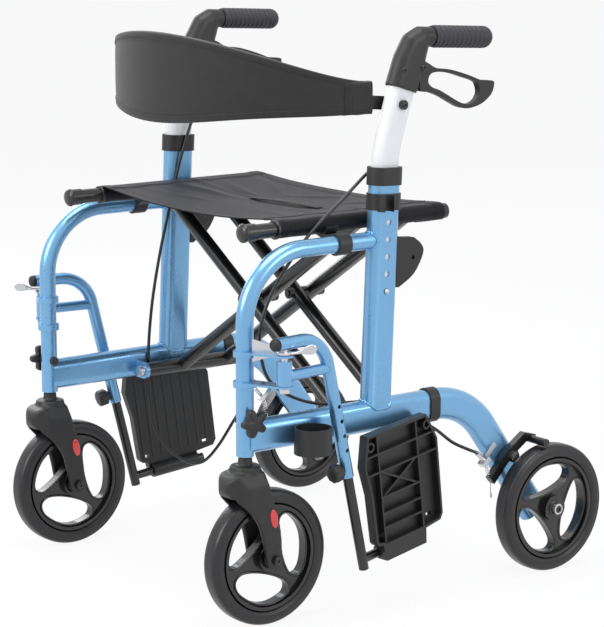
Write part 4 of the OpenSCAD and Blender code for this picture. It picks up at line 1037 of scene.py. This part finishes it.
class ROLLATOR_OT_wheels(bpy.types.Operator):
    """Fits smooth tyres, raised lips round the rim openings and hub rings"""

    bl_idname = "rollator.wheels"
    bl_label = "Wheels"

    def execute(self, context):
        for name, side in SIDES:
            for kind, axle, turn in (("caster", CASTER_AXLE, CASTER_TURN), ("rear", REAR_AXLE, REAR_TURN)):
                wheel = f"{name}_{kind}"
                body = f"{wheel}_wheel"
                tyre = [self.tyre(axle)]
                add_sided(f"{wheel}_tyre_tread", tyre, side, "tyre_rubber", body, f"{wheel}_tyre")
                add_sided(f"{wheel}_rim_lips", self.lips(axle, turn), side, "rim_plastic", body)
                add_sided(f"{wheel}_hub_rings", self.hub(axle), side, "rim_plastic", body)
        return {"FINISHED"}

    def tyre(self, axle):
        """Tyre section: a rounded tread of exponent 0.55 with two fine grooves on each side wall, spun on
        the axle."""
        c = angles(72)
        across = TYRE_HALF[1] * power(np.cos(c), 0.55)
        out = TYRE_MIDDLE + TYRE_HALF[0] * power(np.sin(c), 0.6)
        wall = np.abs(np.cos(c)) > 0.5
        groove = 0.8 * np.exp(-((out - 93.5) / 0.8) ** 2) + 0.6 * np.exp(-((out - 82.5) / 0.7) ** 2)
        across = across - np.sign(across) * np.where(wall, groove, 0)
        ring = np.stack([out, across], -1)
        grid = turned(ring, axle, (1, 0, 0), 120)
        points, quads = grid.reshape(-1, 3), grid_faces(73, 120, True)
        return points, quads % len(points)

    def lips(self, axle, turned_by):
        """Half-round lip round each of the three openings on both faces of the rim's web."""
        outline = smooth_ring(RIM_OPENING, 6)
        t = along(outline, True)
        outline = outline + np.stack([t[:, 1], -t[:, 0]], -1) * -1.6
        parts = []
        for turn in np.radians(turned_by + np.array([0, 120, 240])):
            u = outline[:, 0] * np.cos(turn) - outline[:, 1] * np.sin(turn)
            v = outline[:, 0] * np.sin(turn) + outline[:, 1] * np.cos(turn)
            for face in (RIM_WEB_HALF, -RIM_WEB_HALF):
                path = np.stack([axle[0] + face + 0 * u, axle[1] + v, axle[2] - u], -1)
                parts.append(part(carry(path, circle(RIM_LIP_R, 10), (1, 0, 0), True)))
        return parts

    def hub(self, axle):
        """Flat ring with a rounded edge on each side of the hub."""
        ring = [(8.8, 0), (8.8, 1.1), (9.4, 1.6), (11.8, 1.6), (12.6, 1.0), (12.8, 0)]
        parts = []
        for face in (1, -1):
            centre = (axle[0] + face * HUB_HALF, axle[1], axle[2])
            parts.append(part(turned(ring + ring[:1], centre, (face, 0, 0), 48)))
        return parts


class ROLLATOR_OT_reflectors(bpy.types.Operator):
    """Sets the red oval reflectors into the caster forks"""

    bl_idname = "rollator.reflectors"
    bl_label = "Reflectors"

    def execute(self, context):
        for name, side in SIDES:
            parts = [self.oval(FRAME_X + FORK_HALF, 1), self.oval(FRAME_X - FORK_HALF, -1)]
            add_piece(f"{name}_fork_reflectors", on_side(parts, side), "reflector_red", f"{name}_caster")
        return {"FINISHED"}

    def oval(self, x, face):
        """Shallow dome on an oval: rings at shares rho of its half axes rise to 2.2 in the middle, and it is
        tipped back with the leg."""
        rho = np.array([1.0, 1.0, 0.93, 0.8, 0.6, 0.35, 0.0])[:, None]
        lift = np.array([-1.0, 0.9, 1.5, 1.9, 2.1, 2.2, 2.2])[:, None]
        a = angles(40)[None]
        u, v = REFLECTOR_HALF[0] * rho * np.cos(a), REFLECTOR_HALF[1] * rho * np.sin(a)
        y = REFLECTOR_YZ[0] + u * cos(REFLECTOR_TIP) - v * sin(REFLECTOR_TIP)
        z = REFLECTOR_YZ[1] + u * sin(REFLECTOR_TIP) + v * cos(REFLECTOR_TIP)
        return part(np.stack(np.broadcast_arrays(x + face * lift, y, z), -1))


def on_hanger(x, r, z):
    """Point of the left hanger: x off its plane, r along it from the pin, z up."""
    c, n = cos(HANGER_STOW), sin(HANGER_STOW)
    x, r, z = np.broadcast_arrays(np.asarray(x, float), r, z)
    return np.stack([HANGER_PIN[0] + x * c - r * n, HANGER_PIN[1] + x * n + r * c, z], -1)


def on_foot(x, a, b):
    """Point of the left foot plate: x off the hanger's plane, a along the hinge bar, b up the plate."""
    c, n = cos(FOOT_TILT), sin(FOOT_TILT)
    a, b = np.asarray(a, float), np.asarray(b, float)
    return on_hanger(x, FOOT_RZ[0] + a * c - b * n, FOOT_RZ[1] + a * n + b * c)


def bead(path, radius):
    """Weld bead on a closed path: a round section whose radius ripples along the run."""
    run = run_along(path)
    size = radius * (1 + 0.16 * np.sin(2 * pi * np.round(run[-1] / 3.2) * run / run[-1]))
    return part(carry(path, circle(1.0, 8)[None] * size[:, None, None], (0.3, 0.2, 0.9), True))


def screw_head(centre, axis, radius):
    """Button head with a socket: a low dome turned on its axis, with a round sink in the middle."""
    share = np.array([0, 0.4, 0.46, 0.62, 0.84, 1, 1, 0])
    height = np.array([0.5, 0.5, 1.9, 1.95, 1.6, 0.6, -0.8, -0.8])
    return part(turned(np.stack([share * radius, height], -1), centre, axis, 24))


class ROLLATOR_OT_mouldings(bpy.types.Operator):
    """Rounds off the moulded forks, handle housings and brake levers"""

    bl_idname = "rollator.mouldings"
    bl_label = "Mouldings"

    def execute(self, context):
        for name, _ in SIDES:
            self.round_off(f"{name}_caster_fork", f"{name}_caster", 1.5, 30)
            self.round_off(f"{name}_handle_body", f"{name}_handle", 1.2, 14)
            self.round_off(f"{name}_brake_lever", f"{name}_lever", 0.9, 6)
        return {"FINISHED"}

    def round_off(self, name, body, cell, passes):
        """Copy of a solid with its corners merged, remade in small even cells and evened out by smoothing
        passes."""
        node = frame["nodes"][name]
        shape = bmesh.new()
        shape.from_mesh(node.data)
        bmesh.ops.remove_doubles(shape, verts=shape.verts, dist=1e-5)
        mesh = bpy.data.meshes.new(f"{name}_shell")
        shape.to_mesh(mesh)
        shape.free()
        piece = bpy.data.objects.new(f"{name}_shell", mesh)
        bpy.context.scene.collection.objects.link(piece)
        cells = piece.modifiers.new("even_cells", "REMESH")
        cells.mode = "VOXEL"
        cells.voxel_size = cell * MM
        worn = piece.modifiers.new("rounding", "SMOOTH")
        worn.factor = 0.5
        worn.iterations = passes
        graph = bpy.context.evaluated_depsgraph_get()
        rounded = bpy.data.meshes.new_from_object(piece.evaluated_get(graph))
        piece.modifiers.clear()
        piece.data = rounded
        rounded.polygons.foreach_set("use_smooth", np.ones(len(rounded.polygons), bool))
        rounded.materials.clear()
        rounded.materials.append(node.data.materials[0])
        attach(piece, body)
        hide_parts(name)


class ROLLATOR_OT_welds(bpy.types.Operator):
    """Lays weld beads where the tubes of the side frames and hangers meet"""

    bl_idname = "rollator.welds"
    bl_label = "Welds"

    def execute(self, context):
        size = context.scene.rollator_sizes.weld / MM
        for name, side in SIDES:
            parts = [bead(self.upright_foot(), size), bead(self.hoop_end(), size)]
            add_sided(f"{name}_frame_welds", parts, side, "frame_paint", f"{name}_frame")
            parts = [bead(self.cross_end(r, toward), size * 0.7) for r, toward in ((11.2, 1), (88.0, -1))]
            add_sided(f"{name}_hanger_welds", parts, side, "frame_paint", f"{name}_hanger")
        return {"FINISHED"}

    def upright_foot(self):
        """Flat-oval foot of the upright, let down onto the rounded top of the lower tube."""
        a = angles(96)
        x, y = 15.2 * np.cos(a), 15.2 * np.sin(a) + 10 * np.sign(np.sin(a))
        z = LOW_Z + 9 + np.sqrt(np.clip(15.3**2 - x**2, 0, None))
        return np.stack([FRAME_X + x, UPRIGHT_Y + 0.5 + y, z], -1)

    def hoop_end(self):
        """Circle of the hoop's tube, let back onto the rounded front of the upright."""
        a = angles(64)
        x, z = 12.9 * np.cos(a), HOOP_Z + 12.9 * np.sin(a)
        middle = UPRIGHT_Y + (z - LOW_Z) * np.tan(radians(UPRIGHT_LEAN))
        y = middle - 10.2 - np.sqrt(np.clip(15.2**2 - x**2, 0, None))
        return np.stack([FRAME_X + x, y, z], -1)

    def cross_end(self, r, toward):
        """Circle of the hanger's cross tube against its pivot barrel or its down tube."""
        a = angles(48)
        x, z = CROSS_R * np.cos(a), CROSS_Z + CROSS_R * np.sin(a)
        if toward > 0:
            return on_hanger(x, np.sqrt(r**2 - x**2), z)
        return on_hanger(x, r - np.sqrt(9.6**2 - x**2) - (z - CROSS_Z) * np.tan(radians(13.5)), z)


class ROLLATOR_OT_knobs(bpy.types.Operator):
    """Shapes the star knobs, the thumb knobs and the paddle levers of the hanger latches"""

    bl_idname = "rollator.knobs"
    bl_label = "Knobs and latches"

    def execute(self, context):
        for name, side in SIDES:
            lever = [self.ring(), self.paddle(radians(LATCH_HEADING[name]))]
            groups = (
                ("star_grip", [self.star(), self.stud()], "black_plastic", "star", "star_knob"),
                ("thumb_grip", [self.thumb()], "black_plastic", "thumb", "thumb_knob"),
                ("latch_paddle", lever, "zinc_steel", "latch", "latch_lever"),
            )
            for kind, parts, finish, body, solid in groups:
                add_sided(f"{name}_{kind}", parts, side, finish, f"{name}_{body}", f"{name}_{solid}")
        return {"FINISHED"}

    def star(self):
        """Star of five blunt arms: a smooth outline carried up in rows that draw in at the rounded edge and
        close in a low dome."""
        arm = np.array(STAR_ARM, float)
        a = np.radians(arm[None, :, 1] + 37 + 72 * np.arange(5)[:, None])
        r = np.broadcast_to(arm[None, :, 0], a.shape)
        outline = smooth_ring(np.stack([r * np.cos(a), r * np.sin(a)], -1).reshape(-1, 2), 5)
        share = np.array([0, 0.9, 0.98, 1, 1, 0.98, 0.92, 0.82, 0.6, 0.3, 0])[:, None]
        rise = np.array([0.3, 0.3, 1.2, 2.6, 7.4, 9.2, 10.3, 11, 12, 12.8, 13])[:, None]
        x, y, z = STAR_FOOT
        rows = np.broadcast_arrays(x + rise, y + share * outline[:, 0], z + share * outline[:, 1])
        return part(np.stack(rows, -1))

    def stud(self):
        """Collar behind the star, stud through the post and round nut on its inner side, turned as one."""
        rows = [
            (0, -35.4), (5.6, -35.2), (6.7, -34.4), (7, -33.2), (7, -29.8), (4, -29.8), (4, -3.6),
            (7, -3.6), (7, 0.6), (0, 0.6),
        ]
        return part(turned(rows, STAR_FOOT, (1, 0, 0), 32))

    def thumb(self):
        """Thumb knob on its collar and stud, turned as one; its grip has nine shallow flutes."""
        rows = [
            (0, 8.3), (3, 8.3), (3, 10), (7.5, 10), (7.5, 14.6), (11.4, 14.6), (12.6, 15.4), (12.9, 17),
            (12.9, 26.4), (12.4, 28.2), (11.3, 29.4), (9, 30.2), (0, 30.5),
        ]
        return part(turned(rows, THUMB_FOOT, THUMB_AXIS, 90, self.flutes))

    def flutes(self, a, profile):
        """Nine shallow waves round the rows that are wider than 11."""
        return 1 + 0.045 * np.cos(9 * a)[None] * (profile[:, :1] > 11)

    def ring(self):
        """Flat eye of the lever round the hanger pin, with rounded edges."""
        rows = [(5.2, 0.3), (9.4, 0), (10, 0.6), (10, 3.9), (9.4, 4.5), (5.2, 4.2), (5.2, 0.3)]
        return part(turned(rows, LATCH_FOOT, (0, 0, 1), 40))

    def paddle(self, heading):
        """Lever from its eye to its end: oval sections whose half width thins while their half height grows
        into an upright drop-shaped paddle, set a little to one side."""
        t = np.linspace(0, 1, 40)
        reach = 8 + 38 * t
        wide = np.interp(t, (0, 0.25, 0.45, 0.7, 0.9, 1), (6.6, 4.2, 2.3, 2.1, 1.8, 0.5))
        places = (0, 0.25, 0.45, 0.62, 0.76, 0.88, 0.95, 1)
        tall = np.interp(t, places, (2, 2.1, 3.4, 5.8, 7, 6.4, 4.6, 0.9))
        rise = np.interp(t, (0, 0.25, 0.6, 1), (2.25, 2.4, 5.8, 7.4))
        aside = np.interp(t, (0, 0.25, 0.5, 1), (0, -0.6, -2.6, -2.7))
        b = angles(28)
        off = aside[:, None] + wide[:, None] * power(np.cos(b), 0.7)[None]
        up = rise[:, None] + tall[:, None] * power(np.sin(b), 0.7)[None]
        x = reach[:, None] * cos(heading) - off * sin(heading)
        y = reach[:, None] * sin(heading) + off * cos(heading)
        return part(capped(np.stack([x, y, up], -1) + np.array(LATCH_FOOT)))


class ROLLATOR_OT_trim(bpy.types.Operator):
    """Adds plugs, latch plates, screw heads, brake springs and the ribs under the feet"""

    bl_idname = "rollator.trim"
    bl_label = "Trim"

    def execute(self, context):
        rib = context.scene.rollator_sizes.tread_rib / MM
        x, y, z = REAR_AXLE_END
        for name, side in SIDES:
            groups = (
                ("hanger_plug", [self.plug()], "dark_rubber", "hanger"),
                ("latch_plate", [self.plate()], "zinc_steel", "frame"),
                ("foot_tread", self.tread(rib), "black_plastic", "plate"),
                ("handle_screws", self.handle_screws(), "black_paint", "handle"),
                ("axle_screws", self.axle_screws(), "black_paint", "caster"),
                ("hub_washer", [self.washer()], "zinc_steel", "frame"),
                ("hub_screw", [screw_head((x + 0.2, y, z), (1, 0, 0), 5.6)], "black_paint", "frame"),
                ("brake_spring", self.spring(), "zinc_steel", "frame"),
            )
            for kind, parts, finish, body in groups:
                add_piece(f"{name}_{kind}", on_side(parts, side), finish, f"{name}_{body}")
            brace = SLEEVE_SPANS[name][0]
            add_piece(f"{name}_rail_plugs", on_side(self.rail_plugs(), side), "black_paint", brace)
        return {"FINISHED"}

    def rail_plugs(self):
        """Turned plugs in the seat rail: a mushroom head in front, a low dome behind, and a ring at the
        sleeve's end."""
        r = SLEEVE_R
        front = [
            (0, 9), (6, 8.7), (r, 7.4), (r + 2.3, 5), (r + 2.6, 2.6), (r + 1.8, 0.6), (r, -0.4), (0, -0.4),
        ]
        rear = [(0, 3.4), (6, 3.1), (r - 1.6, 1.7), (r - 0.2, -0.4), (0, -0.4)]
        ring = [
            (r, -2.5), (r + 2.6, -2.2), (r + 3.0, -0.8), (r + 3.0, 1.2), (r + 2.4, 2.2), (r, 2.5), (r, -2.5),
        ]
        parts = [part(turned(front, (RAIL_X, RAIL_FRONT_Y, RAIL_Z), (0, -1, 0), 36))]
        parts.append(part(turned(rear, (RAIL_X, RAIL_REAR_Y, RAIL_Z), (0, 1, 0), 36)))
        parts.append(part(turned(ring, (RAIL_X, SEAT_FRONT_Y - 2.8, RAIL_Z), (0, -1, 0), 36)))
        return parts

    def plug(self):
        """Rubber plug in the upper end of the hanger: turned, with a groove behind its rounded nose."""
        rows = [
            (0, 8.6), (4.8, 8.4), (7.2, 7.6), (8.5, 6), (8.9, 4), (8.9, 1.6), (8.4, 1), (9.2, 0.4),
            (9.2, -1.5), (0, -1.5),
        ]
        ahead = (sin(HANGER_STOW), -cos(HANGER_STOW), 0)
        return part(turned(rows, on_hanger(0, -14, HANGER_Z), ahead, 36))

    def plate(self):
        """Upright sheet from the post toward the hanger pin, tall at the post and a little curled at its
        end."""
        t = np.linspace(0, 1, 12)[:, None]
        w = np.linspace(0, 1, 8)[None]
        x = PLATE_FOOT[0] + PLATE_RUN[0] * t - 1.5 * np.sin(pi * t)
        y = PLATE_FOOT[1] + PLATE_RUN[1] * t + 2 * t**4
        low, high = PLATE_LOW_HIGH[0] + 9 * t, PLATE_LOW_HIGH[1] - 8 * t
        grid = np.stack(np.broadcast_arrays(x, y, low + (high - low) * w), -1)
        return sheet_shell(grid, np.full(grid.shape[:2], 1.6))

    def tread(self, rib):
        """Upright half-round ribs on the inner face of the foot plate."""
        b = np.linspace(24, 172, 16)[:, None]
        a = np.linspace(0, pi, 7)
        out = np.concatenate([2.0 - rib * np.sin(a), [2.5, 2.5]])[None]
        wide = np.concatenate([2.4 * np.cos(a), [-2.4, 2.4]])[None]
        middles = np.linspace(24, 144, 8)
        return [part(capped(on_foot(out, middle + wide + 0 * b, b + 0 * wide))) for middle in middles]

    def handle_screws(self):
        """Button heads on the housing, the lever's pin and the backrest arm's bolt."""
        y, z = ARM_YZ
        heads = [screw_head((278.6, -12.0, 785.0), (1, -0.35, 0), 4.2)]
        heads.append(screw_head((279.0, *LEVER_YZ), (1, 0, 0), 4.8))
        heads.append(screw_head((281.5, y, z), (1, 0, 0), 4.4))
        return heads

    def axle_screws(self):
        """Button heads on both ends of the caster's axle."""
        x, y, z = CASTER_AXLE
        return [screw_head((x + face * FORK_AXLE_HALF, y, z), (face, 0, 0), 5.4) for face in (1, -1)]

    def washer(self):
        """Bright ring on the outer end of the rear axle."""
        rows = [(5.9, 0), (5.9, 1.2), (6.4, 1.6), (7.6, 1.6), (8.2, 1.1), (8.2, 0), (5.9, 0)]
        return part(turned(rows, REAR_AXLE_END, (1, 0, 0), 36))

    def spring(self):
        """Return spring as a helix of seven turns between cable stop and brake arm, and the wire's end with
        its crimp."""
        t = np.linspace(0, 1, 120)[:, None]
        middle = np.array(SPRING_FOOT) + t * np.array(SPRING_RUN)
        a = 2 * pi * 7 * t
        coil = middle + 3.0 * (np.cos(a) * np.array([1, 0, 0]) + np.sin(a) * np.array([0, 0.94, 0.33]))
        tail = smooth_line(((286, 152, 170), (286, 158, 150), (286, 159, 138), (286, 160, 126)), 6)
        crimp = smooth_line(((286, 159.7, 130), (286, 160.2, 123)), 4)
        return [tube(coil, 0.55, 6), tube(tail, 0.75, 8), tube(crimp, 1.5, 10)]


PIECES = (
    ROLLATOR_OT_finishes,
    ROLLATOR_OT_stage,
    ROLLATOR_OT_cables,
    ROLLATOR_OT_seat,
    ROLLATOR_OT_backrest,
    ROLLATOR_OT_wheels,
    ROLLATOR_OT_reflectors,
    ROLLATOR_OT_mouldings,
    ROLLATOR_OT_welds,
    ROLLATOR_OT_knobs,
    ROLLATOR_OT_trim,
)


class ROLLATOR_PT_panel(bpy.types.Panel):
    """Lists the steps that dress the chair"""

    bl_idname = "ROLLATOR_PT_panel"
    bl_label = "Rollator"
    bl_space_type = "VIEW_3D"
    bl_region_type = "UI"
    bl_category = "Rollator"

    def draw(self, context):
        for piece in PIECES:
            self.layout.operator(piece.bl_idname)


GROUPS = {"rollator_colours": RollatorColours, "rollator_sizes": RollatorSizes, "rollator_view": RollatorView}


def register():
    for name, kind in GROUPS.items():
        bpy.utils.register_class(kind)
        setattr(bpy.types.Scene, name, bpy.props.PointerProperty(type=kind))
    for kind in PIECES + (ROLLATOR_PT_panel,):
        bpy.utils.register_class(kind)


def unregister():
    for kind in (ROLLATOR_PT_panel,) + PIECES[::-1]:
        bpy.utils.unregister_class(kind)
    for name, kind in GROUPS.items():
        delattr(bpy.types.Scene, name)
        bpy.utils.unregister_class(kind)


def main():
    register()
    for piece in PIECES:
        getattr(bpy.ops.rollator, piece.bl_idname.split(".")[1])()


if __name__ == "__main__":
    main()
